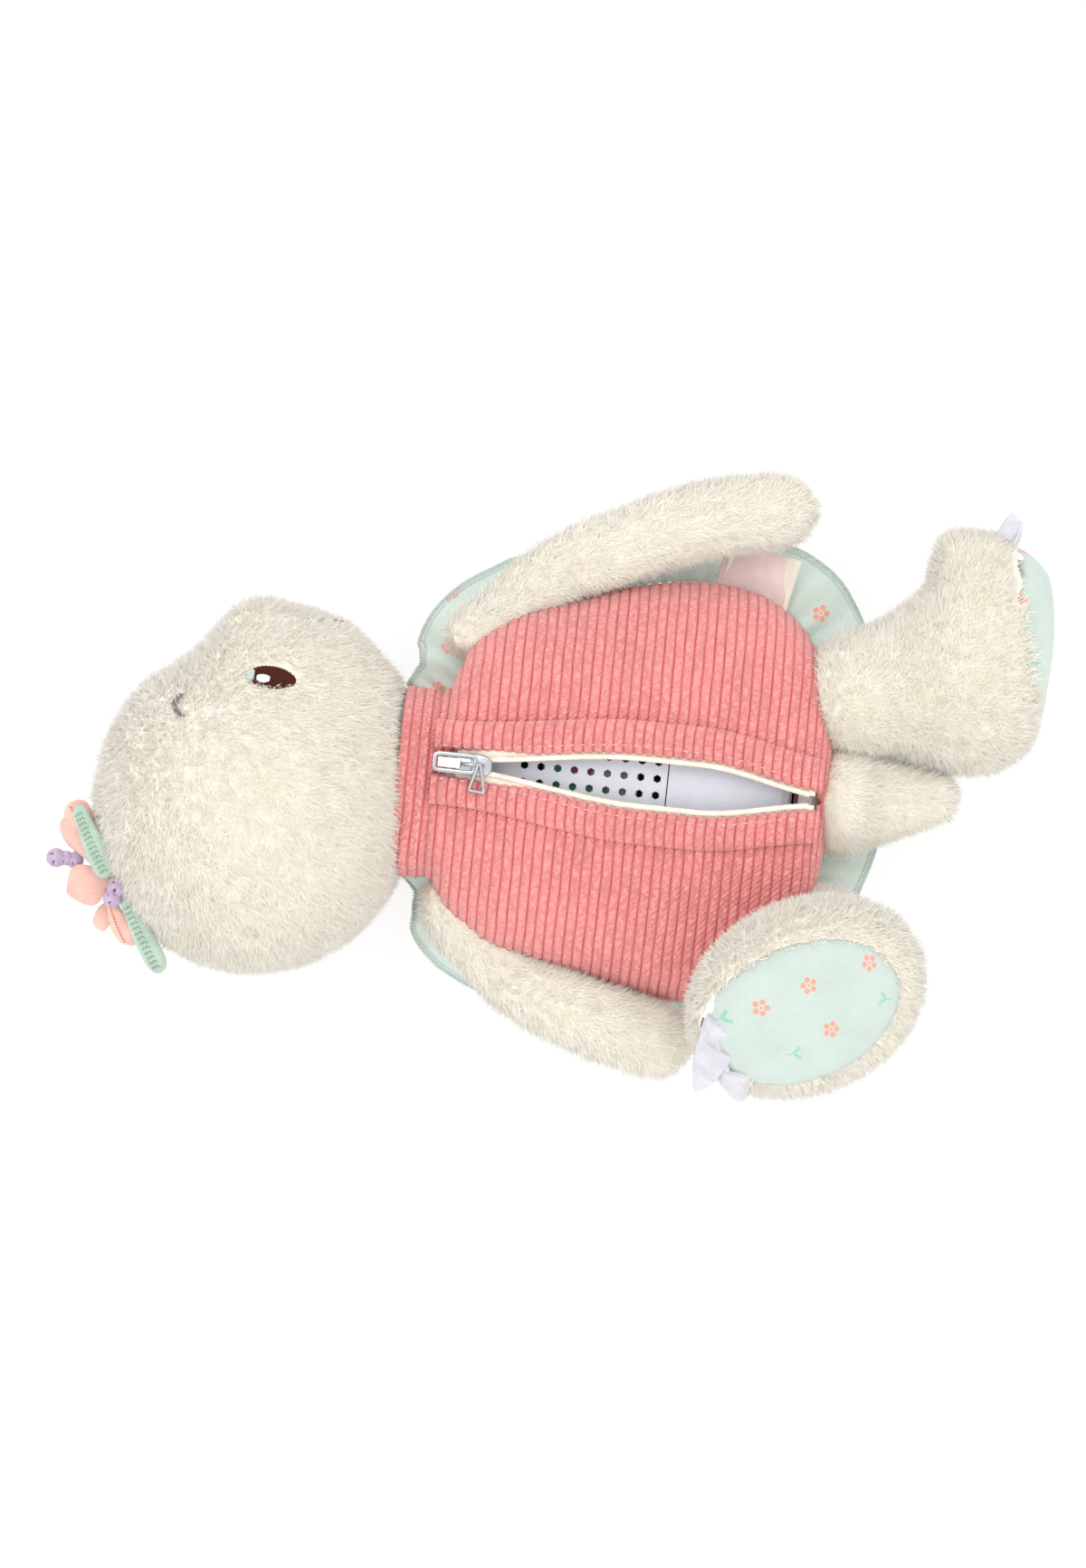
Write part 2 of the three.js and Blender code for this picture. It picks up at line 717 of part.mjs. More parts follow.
const legForm = (side) => blob(LEG_FORM.centre, LEG_FORM.parts, LEG_PLACES[side], LEG_FORM.flats);
const turned = (side, vector) => vector.clone().transformDirection(LEG_PLACES[side]);

// Directions inside a blob are local, so patches on feet aim along local x.
const SOLE_AIM = new THREE.Vector3(1, 0.08, 0);
// Slope sideways from the aim at which the form's surface is a given distance out.
const STEEPEST = 6;
const HALVINGS = 30;
function slopeFor(form, sideways, distance) {
  const foot = form.point(SOLE_AIM);
  const axis = foot.clone().sub(form.centre).normalize();
  let [low, high] = [0, STEEPEST];
  for (let k = 0; k < HALVINGS; k++) {
    const middle = (low + high) / 2;
    const reached = form.point(SOLE_AIM.clone().addScaledVector(sideways, middle)).sub(foot);
    if (reached.addScaledVector(axis, -reached.dot(axis)).length() < distance) low = middle;
    else high = middle;
  }
  return low;
}
const plainFoot = blob(LEG_FORM.centre, LEG_FORM.parts, new THREE.Matrix4(), LEG_FORM.flats);
const SOLE_HALF = [
  slopeFor(plainFoot, new THREE.Vector3(0, 1, 0), SOLE_LENGTH / 2),
  slopeFor(plainFoot, new THREE.Vector3(0, 0, 1), SOLE_WIDTH / 2),
];
function soleSheet(side, layer, grow = 1) {
  const outline = (turn) => [grow * SOLE_HALF[0] * Math.cos(turn), grow * SOLE_HALF[1] * Math.sin(turn)];
  return solidOf(patch(legForm(side), SOLE_AIM, new THREE.Vector3(0, 0, 1), outline, layer, 3, 16));
}
function soleSolid(side) {
  const sheet = soleSheet(side, [-SOLE_THICKNESS, SEAM_GAP + SOLE_THICKNESS]);
  return largest(sheet.subtract(blobSolid(legForm(side), SEAM_GAP)));
}

// Flat leaf with its root at the origin, along +x, cupped upwards.
const LEAF_ROUNDNESS = 0.7;
const LEAF_LEAST = 0.06;
const LEAF_ROLL = 0.35;
function leaf(length, width, thickness, cup, tip = 1, steps = 7, across = 5) {
  const rings = [];
  for (let i = 0; i <= steps; i++) {
    const u = i / steps;
    const half = (width / 2) * Math.max(Math.sin(Math.PI * u ** tip) ** LEAF_ROUNDNESS, LEAF_LEAST);
    const ring = [];
    for (let k = 0; k < across * 2; k++) {
      const v = k < across ? 1 - (2 * k) / (across - 1) : -1 + (2 * (k - across)) / (across - 1);
      const sheet = cup * (u * u + LEAF_ROLL * v * v * Math.sin(Math.PI * u));
      const level = sheet + (k < across ? thickness / 2 : -thickness / 2);
      ring.push(new THREE.Vector3(length * u, half * v, level));
    }
    rings.push(ring);
  }
  return skin(rings);
}

// Felt flower round the origin, facing +z, cupped.
const PETALS = 5;
const PETAL_STEPS = 5;
const PETAL_ROOT = 0.6;
const PETAL_ROUNDNESS = 0.6;
function flower(radius, thickness, cup) {
  const count = PETALS * PETAL_STEPS;
  const layer = (lift) => {
    const rows = [];
    for (let i = 1; i <= 2; i++) {
      const row = [];
      for (let k = 0; k < count; k++) {
        const turn = (k / count) * 2 * Math.PI;
        const bulge = Math.abs(Math.sin((PETALS / 2) * turn)) ** PETAL_ROUNDNESS;
        const lobe = PETAL_ROOT + (1 - PETAL_ROOT) * bulge;
        const reach = radius * lobe * (i / 2);
        const curl = cup * (reach / radius) ** 2;
        row.push(new THREE.Vector3(reach * Math.cos(turn), reach * Math.sin(turn), curl + lift));
      }
      rows.push(row);
    }
    return rows;
  };
  return skin([...layer(0), ...layer(thickness).reverse()]);
}

// Places a piece that lies in its own x, y plane: z along normal, x along the given direction.
function placed(geometry, origin, normal, along) {
  const z = normal.clone().normalize();
  const x = along.clone().addScaledVector(z, -along.dot(z)).normalize();
  const y = new THREE.Vector3().crossVectors(z, x);
  return geometry.applyMatrix4(new THREE.Matrix4().makeBasis(x, y, z).setPosition(origin));
}

// Box with rounded corners in plan and eased top and bottom edges.
const LEAST_CORNER = 0.5;
function caseSolid(length, width, thickness, corner, edge, bottom, softness = 2) {
  const shape = new THREE.Shape();
  const [a, b] = [length / 2 - edge, width / 2 - edge];
  const r = Math.max(corner - edge, LEAST_CORNER);
  shape.moveTo(-a + r, -b);
  shape.lineTo(a - r, -b);
  shape.absarc(a - r, -b + r, r, -Math.PI / 2, 0);
  shape.lineTo(a, b - r);
  shape.absarc(a - r, b - r, r, 0, Math.PI / 2);
  shape.lineTo(-a + r, b);
  shape.absarc(-a + r, b - r, r, Math.PI / 2, Math.PI);
  shape.lineTo(-a, -b + r);
  shape.absarc(-a + r, -b + r, r, Math.PI, 1.5 * Math.PI);
  const geometry = new THREE.ExtrudeGeometry(shape, {
    depth: thickness - 2 * edge,
    bevelThickness: edge,
    bevelSize: edge,
    bevelSegments: softness,
    curveSegments: 2 * softness,
    steps: 1,
  });
  return solidOf(geometry.translate(0, 0, bottom + edge));
}

// Trunk pieces
const limbRoom = join([
  ballRoom(ARM_RADIUS, shoulders.left),
  ballRoom(ARM_RADIUS, shoulders.right),
  ballRoom(LEG_RADIUS, hips.left),
  ballRoom(LEG_RADIUS, hips.right),
]);
const tailRoot = new THREE.Vector3(trunkEnd + TAIL_ROOT_OUT, TAIL_SHIFT, TAIL_HEIGHT);
const openings = limbRoom.add(ballRoom(TAIL_RADIUS, tailRoot));

const MIDDLE = [0, 0];
const WIDE = 400;
const above = (level) => block([-WIDE, -WIDE, level], [WIDE, WIDE, WIDE]);
const below = (level) => block([-WIDE, -WIDE, -WIDE], [WIDE, WIDE, level]);
const left = block([-WIDE, 0, -WIDE], [WIDE, WIDE, WIDE]);
const right = block([-WIDE, -WIDE, -WIDE], [WIDE, 0, WIDE]);

const wadding = trunkSolid(FABRIC + SEAM_GAP);
const trunkSkin = trunkSolid(0).subtract(trunkSolid(FABRIC, FABRIC)).subtract(openings);
const shellCover = trunkSkin.intersect(below(SEAM_HEIGHT - SEAM_GAP / 2)).intersect(above(0));
add('shell_cover', geometryOf(shellCover), MINT);
const belly = trunkSkin.intersect(above(SEAM_HEIGHT + SEAM_GAP / 2)).subtract(slitSolid());
add('belly_panel_left', geometryOf(belly.intersect(left)), CORAL);
add('belly_panel_right', geometryOf(belly.intersect(right)), CORAL);

// Pocket and wadding round the light unit
const pocketSize = (room) => caseSolid(
  UNIT_LENGTH + 2 * room, UNIT_WIDTH + 2 * room, UNIT_THICKNESS + 2 * room,
  UNIT_CORNER + room - POCKET_CORNER_EASE, POCKET_EDGE, unitBottom - room, 1);
const pocketTop = unitTop - UNIT_EDGE;
const lightWell = rod(
  LENS_DIAMETER / 2 + WELL_ROOM, FABRIC + SEAM_GAP, unitBottom + UNIT_WALL, MIDDLE, 'z', 16);
const pocketOuter = pocketSize(POCKET_ROOM + POCKET_FABRIC);
const pocket = pocketOuter.subtract(pocketSize(POCKET_ROOM)).subtract(above(pocketTop)).subtract(lightWell);
add('unit_pocket', geometryOf(pocket), LINING);
const padRoom = pocketSize(POCKET_ROOM + POCKET_FABRIC + SEAM_GAP);
const NECK_PLUG = 0.05;
const neckPlug = wadding.intersect(block([-WIDE, -WIDE, 0], [trunkFront + NECK_PLUG, WIDE, WIDE]));
const [halfLength, halfWidth] = [UNIT_LENGTH / 2, UNIT_WIDTH / 2];
const overUnit = block([-halfLength, -halfWidth, pocketTop], [halfLength, halfWidth, WIDE]);
const SLIT_ROOM = { half: 9, toNeck: 5, toTail: 6, under: 2 };
const slitRoom = block([-halfLength - SLIT_ROOM.toNeck, -SLIT_ROOM.half, unitTop - SLIT_ROOM.under],
  [halfLength + SLIT_ROOM.toTail, SLIT_ROOM.half, WIDE]);
const pad = wadding.subtract(padRoom).subtract(overUnit).subtract(slitRoom)
  .subtract(lightWell).subtract(openings).subtract(neckPlug);
add('torso_pad', geometryOf(pad), WADDING);

// Collar with the neck's wadding inside it
function neckOval(x, inset) {
  const ring = trunkRing(0, inset, TRUNK_SIDES);
  return ring.map((point) => new THREE.Vector3(x, point.y, point.z));
}
const neckTube = (inset, from, to) => solidOf(skin([neckOval(from, inset), neckOval(to, inset)]));
const collar = neckTube(0, collarFront, collarBack)
  .subtract(neckTube(FABRIC, collarFront - CUT, collarBack + CUT));
add('collar', geometryOf(collar), CORAL);
add('neck_wadding', geometryOf(neckTube(FABRIC + SEAM_GAP, collarFront, collarBack)), WADDING);

// Ruffle: waved band round the seam, open at the neck
const RUFFLE_STEPS = RUFFLE_FOLDS * 5;
const RUFFLE_END_SHARE = 0.0025;
const RUFFLE_NARROW = 0.55; // share of the width that is left at its ends
const RUFFLE_TAPER = 9;
const EDGE_POINTS = 200;
const EDGE_FROM_NECK = 0.2;
function trunkEdge() {
  const near = planCurve.getPoints(EDGE_POINTS).filter((point) => point.x > trunkFront + EDGE_FROM_NECK);
  const along = near.map((point) => new THREE.Vector3(point.x, point.z + point.y, 0));
  const back = near.map((point) => new THREE.Vector3(point.x, point.z - point.y, 0)).reverse();
  const sparse = [...along, ...back].filter((point, k) => k % 4 === 0);
  return new THREE.CatmullRomCurve3(sparse, false, 'centripetal');
}
function ruffle() {
  const edge = trunkEdge();
  const rings = [];
  const half = RUFFLE_THICKNESS / 2;
  for (let i = 0; i <= RUFFLE_STEPS; i++) {
    const t = THREE.MathUtils.lerp(RUFFLE_END_SHARE, 1 - RUFFLE_END_SHARE, i / RUFFLE_STEPS);
    const root = edge.getPointAt(t);
    const tangent = edge.getTangentAt(t);
    const out = new THREE.Vector3(-tangent.y, tangent.x, 0);
    const wave = Math.sin(t * RUFFLE_FOLDS * 2 * Math.PI);
    const fullness = smoothstep(Math.min(t, 1 - t) * RUFFLE_TAPER);
    const width = (RUFFLE_WIDTH + RUFFLE_SWELL * Math.sin(t * RUFFLE_FOLDS * Math.PI))
      * THREE.MathUtils.lerp(RUFFLE_NARROW, 1, fullness);
    const at = (part, up) => root.clone()
      .addScaledVector(out, SEAM_GAP + RUFFLE_APART + width * part)
      .setZ(SEAM_HEIGHT - RUFFLE_DROP - RUFFLE_DROOP * part ** 1.5 + RUFFLE_WAVE * wave * part + up);
    rings.push([at(0, half), at(0.5, half), at(1, half), at(1, -half), at(0.5, -half), at(0, -half)]);
  }
  return solidOf(skin(rings));
}
const ruffleSolid = ruffle().subtract(trunkSolid(-SEAM_GAP)).subtract(openings)
  .subtract(block([-WIDE, -WIDE, -WIDE], [collarFront + CUT, WIDE, WIDE]))
  .subtract(neckTube(-SEAM_GAP, collarFront - CUT, collarBack + CUT));
add('shell_ruffle', geometryOf(ruffleSolid), MINT);

// Zip
for (const [name, side] of Object.entries(SIDES)) {
  const coil = solidOf(lipStrip(zipStart, zipEnd - COIL_TO_END, side, 9, coilSection));
  const tape = solidOf(lipStrip(zipStart - TAPE_PAST_ZIP, zipEnd, side, 9, tapeSection));
  add(`zip_tape_${name}`, geometryOf(tape.add(coil)), LIP_CREAM);
  const welt = lipStrip(trunkFront + WELT_TO_NECK, zipEnd + WELT_PAST_ZIP, side, 11, weltSection);
  add(`zip_welt_${name}`, welt, CORAL);
}
const sliderX = zipStart + SLIDER_FROM_START;
const sliderFrom = sliderX - SLIDER_LENGTH / 2;
const sliderTo = sliderX + SLIDER_LENGTH / 2;
const channel = COIL_DIAMETER / 2 + SLIDER_CHANNEL_GAP;
const plateTop = tapeLevel + channel + SLIDER_PLATE;
function sliderSolid() {
  const half = SLIDER_WIDTH / 2;
  const plateBottom = tapeLevel - channel - SLIDER_PLATE;
  const lower = block([sliderFrom, -half, plateBottom], [sliderTo, half, tapeLevel - channel]);
  const upper = block([sliderFrom, -half, tapeLevel + channel], [sliderTo, half, plateTop]);
  const wedge = block([sliderFrom, -WEDGE_WIDTH / 2, tapeLevel - channel - WEDGE_LAP],
    [zipStart - WEDGE_TO_COIL, WEDGE_WIDTH / 2, tapeLevel + channel + WEDGE_LAP]);
  return join([lower, upper, wedge]);
}
function archSolid() {
  const [from, to] = [sliderX - ARCH_LENGTH / 2, sliderX + ARCH_LENGTH / 2];
  const half = ARCH_WIDTH / 2;
  const bridge = plateTop + ARCH_RISE;
  const outer = block([from, -half, plateTop - WEDGE_LAP], [to, half, bridge + ARCH_BRIDGE]);
  const hole = block([from + ARCH_FOOT, -ARCH_WIDTH, plateTop], [to - ARCH_FOOT, ARCH_WIDTH, bridge]);
  return outer.subtract(hole);
}
add('zip_slider', geometryOf(sliderSolid().add(archSolid())), METAL, 0.3, 1);

// Pull: pin under the arch, two cheeks and a slotted tab lying towards the head
const pinLevel = plateTop + ARCH_RISE / 2;
function pullSolid() {
  const cheek = ARCH_WIDTH / 2 + CHEEK_GAP;
  const half = PULL_THICKNESS / 2;
  const pin = rod(PIN_RADIUS, -PULL_WIDTH / 2, PULL_WIDTH / 2, [sliderX, pinLevel], 'y', 10);
  const frame = block([sliderX - PULL_LENGTH, -PULL_WIDTH / 2, pinLevel - half],
    [sliderX + PULL_PAST_PIN, PULL_WIDTH / 2, pinLevel + half]);
  const eye = block([sliderX - EYE_FROM_PIN, -cheek, pinLevel - PULL_THICKNESS],
    [sliderX + EYE_PAST_PIN, cheek, pinLevel + PULL_THICKNESS]);
  const slot = block([sliderX - PULL_LENGTH + PULL_END_BAR, -PULL_SLOT_WIDTH / 2, pinLevel - PULL_THICKNESS],
    [sliderX - PULL_SLOT_FROM_PIN, PULL_SLOT_WIDTH / 2, pinLevel + PULL_THICKNESS]);
  return frame.subtract(eye).subtract(slot).add(pin);
}
add('zip_pull', geometryOf(pullSolid()), METAL, 0.3, 1);

// Stop clamped over both coils at the end by the neck
function stopSolid() {
  const [from, to] = [sliderFrom - STOP_LENGTH, sliderFrom - SEAM_GAP];
  const slab = (past, half, under, over) => block(
    [from - past, -half, tapeLevel - under], [to + past, half, tapeLevel + over]);
  const body = slab(0, STOP_WIDTH / 2, STOP_UNDER, STOP_OVER);
  const slot = slab(CUT, STOP_WIDTH, STOP_SLOT / 2, STOP_SLOT / 2);
  const web = slab(2 * CUT, STOP_WEB / 2, STOP_SLOT, STOP_SLOT);
  return body.subtract(slot.subtract(web));
}
add('zip_bottom_stop', geometryOf(stopSolid()), METAL, 0.3, 1);

// Head with its face
const headForm = blob(headCentre, [
  { shift: SKULL_SHIFT, radii: SKULL_RADII },
  { shift: SNOUT_SHIFT, radii: SNOUT_RADII },
]);
const headSkin = (lift) => blobSolid(headForm, lift, 16, 24);
const headSolid = headSkin(0).subtract(below(0))
  .subtract(block([collarFront - SEAM_GAP, -WIDE, -WIDE], [WIDE, WIDE, WIDE]));
add('head', geometryOf(headSolid), CREAM);

const CROWN = new THREE.Vector3(-1, 0, 0);
const THREAD_TIP = 0.2;
const THREAD_END = 0.01;
const threadProfile = (t) => (t < THREAD_END || t > 1 - THREAD_END ? THREAD_TIP : 0.5) * THREAD;
const mirrored = (vector, side) => vector.clone().multiply(new THREE.Vector3(1, 1, side));
function browGeometry(side) {
  const points = [-1, -0.5, 0, 0.5, 1].map((u) => {
    const step = new THREE.Vector3(-BROW_BULGE * (1 - u * u), (u * BROW_LENGTH) / 2, -u * BROW_SLOPE);
    return headForm.point(mirrored(BROW_AIM.clone().add(step), side), SEAM_GAP + THREAD / 2);
  });
  const path = new THREE.CatmullRomCurve3(points);
  return sweep(path, threadProfile, 1, 5, 5, mirrored(BROW_AIM, side).normalize());
}
for (const [name, side] of Object.entries(SIDES)) {
  const aim = mirrored(EYE_AIM, side);
  const reach = headForm.point(aim).distanceTo(headCentre);
  const outline = (turn) => [
    (EYE_WIDTH / 2 / reach) * Math.cos(turn),
    (EYE_LENGTH / 2 / reach) * Math.sin(turn),
  ];
  add(`eye_${name}`, patch(headForm, aim, CROWN, outline, [PATCH_LIFT, PATCH_LIFT + EMBROIDERY]), BROWN);
  add(`brow_${name}`, browGeometry(side), GREY);
}
const mouthPath = new THREE.CatmullRomCurve3([-1, -0.6, 0, 0.6, 1].map((u) => {
  const step = new THREE.Vector3(-MOUTH_BEND * u * u, 0, MOUTH_HALF * u);
  return headForm.point(MOUTH_AIM.clone().add(step), SEAM_GAP + THREAD / 2);
}));
add('mouth', sweep(mouthPath, threadProfile, 1, 8, 5, new THREE.Vector3(0, 1, 0)), GREY);

// Crown trim: two felt flowers, each with a chenille bud and a leaf
const CROWN_AIM = new THREE.Vector3(-41, -24, 2);
const CROWN_ACROSS = new THREE.Vector3(0.49, -0.87, 0);
function crownPoint(along, out, height) {
  const aim = CROWN_AIM.clone().addScaledVector(CROWN_ACROSS, along).add(new THREE.Vector3(0, 0, height));
  return headForm.point(aim, out);
}
const TRIM = [
  { name: '1', along: -5, height: 0, share: 1, leafAlong: -1, leafHeight: 9, spin: 0.3 },
  { name: '2', along: 15.5, height: -1, share: 0.82, leafAlong: 21, leafHeight: 3, spin: 0.9 },
];
const headRoom = headSkin(SEAM_GAP);
for (const trim of TRIM) {
  const seat = crownPoint(trim.along, 0, trim.height);
  const normal = seat.clone().sub(headCentre).normalize();
  const along = CROWN_ACROSS.clone().applyAxisAngle(normal, trim.spin);
  const radius = FLOWER_RADIUS * trim.share;
  const cup = radius * FLOWER_CUP;
  const petals = solidOf(placed(flower(radius, FELT, cup), seat, normal, along));
  const budSeat = seat.clone().addScaledVector(normal, FELT + SEAM_GAP + BUD_RADIUS * 0.95);
  const bud = ball(BUD_RADIUS, budSeat, 12);
  const leafSeat = crownPoint(trim.leafAlong - LEAF_ROOT_BACK, FELT / 2, trim.leafHeight);
  const leafTip = crownPoint(trim.leafAlong + LEAF_TIP_AHEAD, LEAF_TIP_RISE, trim.leafHeight + LEAF_TIP_RISE);
  const leafNormal = leafSeat.clone().sub(headCentre).normalize();
  const blade = placed(leaf(LEAF_LENGTH, LEAF_WIDTH, FELT, LEAF_CUP), leafSeat, leafNormal,
    leafTip.clone().sub(leafSeat));
  const flowerRoom = placed(flower(radius + SEAM_GAP, FELT + 2 * (SEAM_GAP + FLOWER_ROOM), cup),
    seat.clone().addScaledVector(normal, -SEAM_GAP - FLOWER_ROOM), normal, along);
  const leafCut = solidOf(blade).subtract(headRoom).subtract(solidOf(flowerRoom));
  add(`flower_${trim.name}`, geometryOf(petals.subtract(headRoom)), PETAL);
  add(`bud_${trim.name}`, geometryOf(bud.subtract(petals)), LILAC);
  add(`leaf_${trim.name}`, geometryOf(largest(leafCut)), SAGE);
}

// Largest separate body of a solid.
function largest(solid) {
  const bodies = solid.decompose();
  return bodies.sort((a, b) => b.volume() - a.volume())[0];
}

// Felt claws: three points on a band along the front of the sole, in the foot's own directions
const CLAW_ROOT = { x: 14, y: 34, bend: 3, spread: 12, sink: 1.2 };
const BAND_ROOT = { x: 16, y: 33, bend: 3, spread: 15 };
const SOLE_ROOM = 1.03;
const CLAW_TIP = 0.8;
const BAND_FLATNESS = 0.7;
function clawSolids(side) {
  const form = legForm(side);
  const soleRoom = soleSheet(side, [-SOLE_THICKNESS, 2 * SEAM_GAP + SOLE_THICKNESS], SOLE_ROOM);
  const skinRoom = blobSolid(form, SEAM_GAP);
  const spot = (place, k) => new THREE.Vector3(place.x, place.y - place.bend * k * k, place.spread * k);
  const claws = [-1, 0, 1].map((k) => {
    const root = form.point(spot(CLAW_ROOT, k), -CLAW_ROOT.sink);
    const normal = turned(side, new THREE.Vector3(0.75, -0.35, 0.2 * k));
    const along = turned(side, new THREE.Vector3(0.35, 1, 0.25 * k));
    const point = leaf(CLAW_LENGTH, CLAW_WIDTH, CLAW_THICKNESS, 1, CLAW_TIP, 3, 3);
    return solidOf(placed(point, root, normal, along));
  });
  const strip = [-1, -0.5, 0, 0.5, 1].map((k) => form.point(spot(BAND_ROOT, k), CLAW_BAND));
  const facing = turned(side, new THREE.Vector3(1, 0, 0));
  const band = sweep(new THREE.CatmullRomCurve3(strip), () => CLAW_BAND, BAND_FLATNESS, 4, 5, facing);
  return largest(join([solidOf(band), ...claws]).subtract(skinRoom).subtract(soleRoom));
}

// Arms, legs and tail: outside the trunk each has its own form, and in its socket only a ball
const trunkRoom = trunkSolid(-SWING_GAP);
const limbSolid = (form, radius, root) => largest(form.subtract(trunkRoom)).add(ball(radius, root));
for (const side of Object.keys(SIDES)) {
  add(`arm_${side}`, geometryOf(limbSolid(armSolid(side), ARM_RADIUS, shoulders[side])), CREAM);
  add(`leg_${side}`, geometryOf(limbSolid(blobSolid(legForm(side)), LEG_RADIUS, hips[side])), CREAM);
  add(`sole_${side}`, geometryOf(soleSolid(side)), MINT);
  add(`claws_${side}`, geometryOf(clawSolids(side)), FELT_WHITE);
}

// Steps of the tail's middle line from its root, as shares of its length
const TAIL_STEPS = [[-0.18, 0, 0], [0.286, 0, 0], [0.679, 0.014, 0.018], [1, 0.07, 0.036]];
const TAIL_TAPER = 0.55;
const TAIL_END_SHARE = 0.18;
const TAIL_FLATNESS = 0.8;
const tailPath = new THREE.CatmullRomCurve3(
  TAIL_STEPS.map((step) => new THREE.Vector3(...step).multiplyScalar(TAIL_LENGTH).add(tailRoot)));
const tailEnd = (t) => roundEnd((t - 1 + TAIL_END_SHARE) / TAIL_END_SHARE);
const tailProfile = (t) => TAIL_RADIUS * (1 - TAIL_TAPER * t) * tailEnd(t);
const tailSolid = solidOf(sweep(tailPath, tailProfile, TAIL_FLATNESS, 8, 10));
add('tail', geometryOf(limbSolid(tailSolid, TAIL_RADIUS, tailRoot)), CREAM);

// Care label: two folded layers sewn into the side seam
const labelRoot = new THREE.Vector3(
  trunkEnd - LABEL_FROM_END, TRUNK_WIDTH / 2 - LABEL_INSET, SEAM_HEIGHT + LABEL_RISE);
const LABEL_DIRECTION = new THREE.Vector3(0.18, 0.98, 0);
function labelLayer(drop, shift) {
  const layer = new THREE.BoxGeometry(LABEL_WIDTH, LABEL_LENGTH, LABEL_THICKNESS)
    .translate(shift, LABEL_LENGTH / 2 - LABEL_TUCK, 0);
  const across = new THREE.Vector3(LABEL_DIRECTION.y, -LABEL_DIRECTION.x, 0);
  const place = new THREE.Matrix4().makeBasis(across, LABEL_DIRECTION, new THREE.Vector3(0, 0, 1))
    .setPosition(labelRoot.clone().setZ(labelRoot.z - drop));
  return solidOf(layer.applyMatrix4(place)).subtract(trunkSolid(-SEAM_GAP));
}
add('care_label', geometryOf(labelLayer(0, 0)), SATIN);
add('care_label_back', geometryOf(labelLayer(LABEL_THICKNESS + SEAM_GAP, LABEL_BACK_SHIFT)), CREAM_TAPE);

// Light unit
const splitLevel = unitBottom + UNIT_SPLIT;
const innerCase = (room) => caseSolid(
  UNIT_LENGTH - 2 * (UNIT_WALL + room), UNIT_WIDTH - 2 * (UNIT_WALL + room), UNIT_THICKNESS - 2 * UNIT_WALL,
  UNIT_CORNER - UNIT_WALL, UNIT_EDGE - UNIT_WALL / 2, unitBottom + UNIT_WALL, 1);
const unitShell = caseSolid(UNIT_LENGTH, UNIT_WIDTH, UNIT_THICKNESS, UNIT_CORNER, UNIT_EDGE, unitBottom)
  .subtract(innerCase(0));
const cellPitch = CELL_DIAMETER + CELL_GAP;
const doorFrom = halfLength - CELL_COUNT * cellPitch - DOOR_MARGIN;
const doorDepth = UNIT_EDGE + DOOR_STEP;
const doorCut = block([doorFrom, -WIDE, unitTop - doorDepth], [WIDE, WIDE, WIDE]);
const doorRoom = block([doorFrom - DOOR_GAP, -WIDE, unitTop - doorDepth - DOOR_GAP], [WIDE, WIDE, WIDE]);
const grilleHalf = ((HOLE_COLUMNS - 1) / 2) * HOLE_PITCH;
const grilleCentre = [doorFrom - GRILLE_TO_DOOR - grilleHalf, GRILLE_SHIFT];
function grilleHoles() {
  const holes = [];
  for (let row = 0; row < HOLE_ROWS; row++) {
    for (let column = 0; column < HOLE_COLUMNS; column++) {
      const x = grilleCentre[0] - grilleHalf + column * HOLE_PITCH;
      const y = grilleCentre[1] + (row - (HOLE_ROWS - 1) / 2) * HOLE_PITCH;
      holes.push(rod(HOLE_DIAMETER / 2, unitTop - UNIT_WALL - CUT, unitTop + CUT, [x, y], 'z', 6));
    }
  }
  return join(holes);
}
const buttonPlace = [grilleCentre[0], BUTTON_INSET - halfWidth];
const buttonHole = rod(
  BUTTON_DIAMETER / 2 + SEAM_GAP, unitTop - UNIT_WALL - 2 * CUT, unitTop + CUT, buttonPlace);
const frontCover = unitShell.intersect(above(splitLevel + SEAM_GAP / 2)).subtract(doorRoom)
  .subtract(grilleHoles()).subtract(buttonHole);
add('unit_front_cover', geometryOf(frontCover), WHITE, 0.4);

// Rear cover with its bosses and screws
const screwX = halfLength - SCREW_END_INSET;
const screwY = halfWidth - SCREW_SIDE_INSET;
const screwPlaces = [[-screwX, -screwY], [-screwX, screwY], [screwX, -screwY], [screwX, screwY]];
const bossTop = splitLevel - BOSS_UNDER_SPLIT;
const headTop = unitBottom + SCREW_SINK + SCREW_HEAD;
const lensHole = rod(
  LENS_DIAMETER / 2 + SEAM_GAP, unitBottom - CUT, unitBottom + UNIT_WALL + CUT, MIDDLE, 'z', 24);
const bosses = join(screwPlaces.map((place) => rod(
  BOSS_DIAMETER / 2, unitBottom + UNIT_WALL - CUT / 2, bossTop, place, 'z', 10)));
const shankRoom = join(screwPlaces.map((place) => rod(
  SCREW_DIAMETER / 2 + SEAM_GAP, unitBottom - CUT, bossTop + 2 * CUT, place, 'z', 8)));
const headSocket = join(screwPlaces.map((place) => rod(
  SCREW_DIAMETER + SEAM_GAP, unitBottom - CUT, headTop + SEAM_GAP, place, 'z', 10)));
const rearCover = unitShell.intersect(below(splitLevel - SEAM_GAP / 2)).subtract(lensHole)
  .add(bosses).subtract(shankRoom).subtract(headSocket);
add('unit_rear_cover', geometryOf(rearCover), WHITE, 0.4);
screwPlaces.forEach((place, k) => {
  const head = rod(SCREW_DIAMETER, unitBottom + SCREW_SINK, headTop, place, 'z', 10);
  const shank = rod(SCREW_DIAMETER / 2, headTop - CUT / 2, bossTop + SCREW_PAST_BOSS, place, 'z', 8);
  add(`housing_screw_${k + 1}`, geometryOf(head.add(shank)), METAL, 0.35, 1);
});

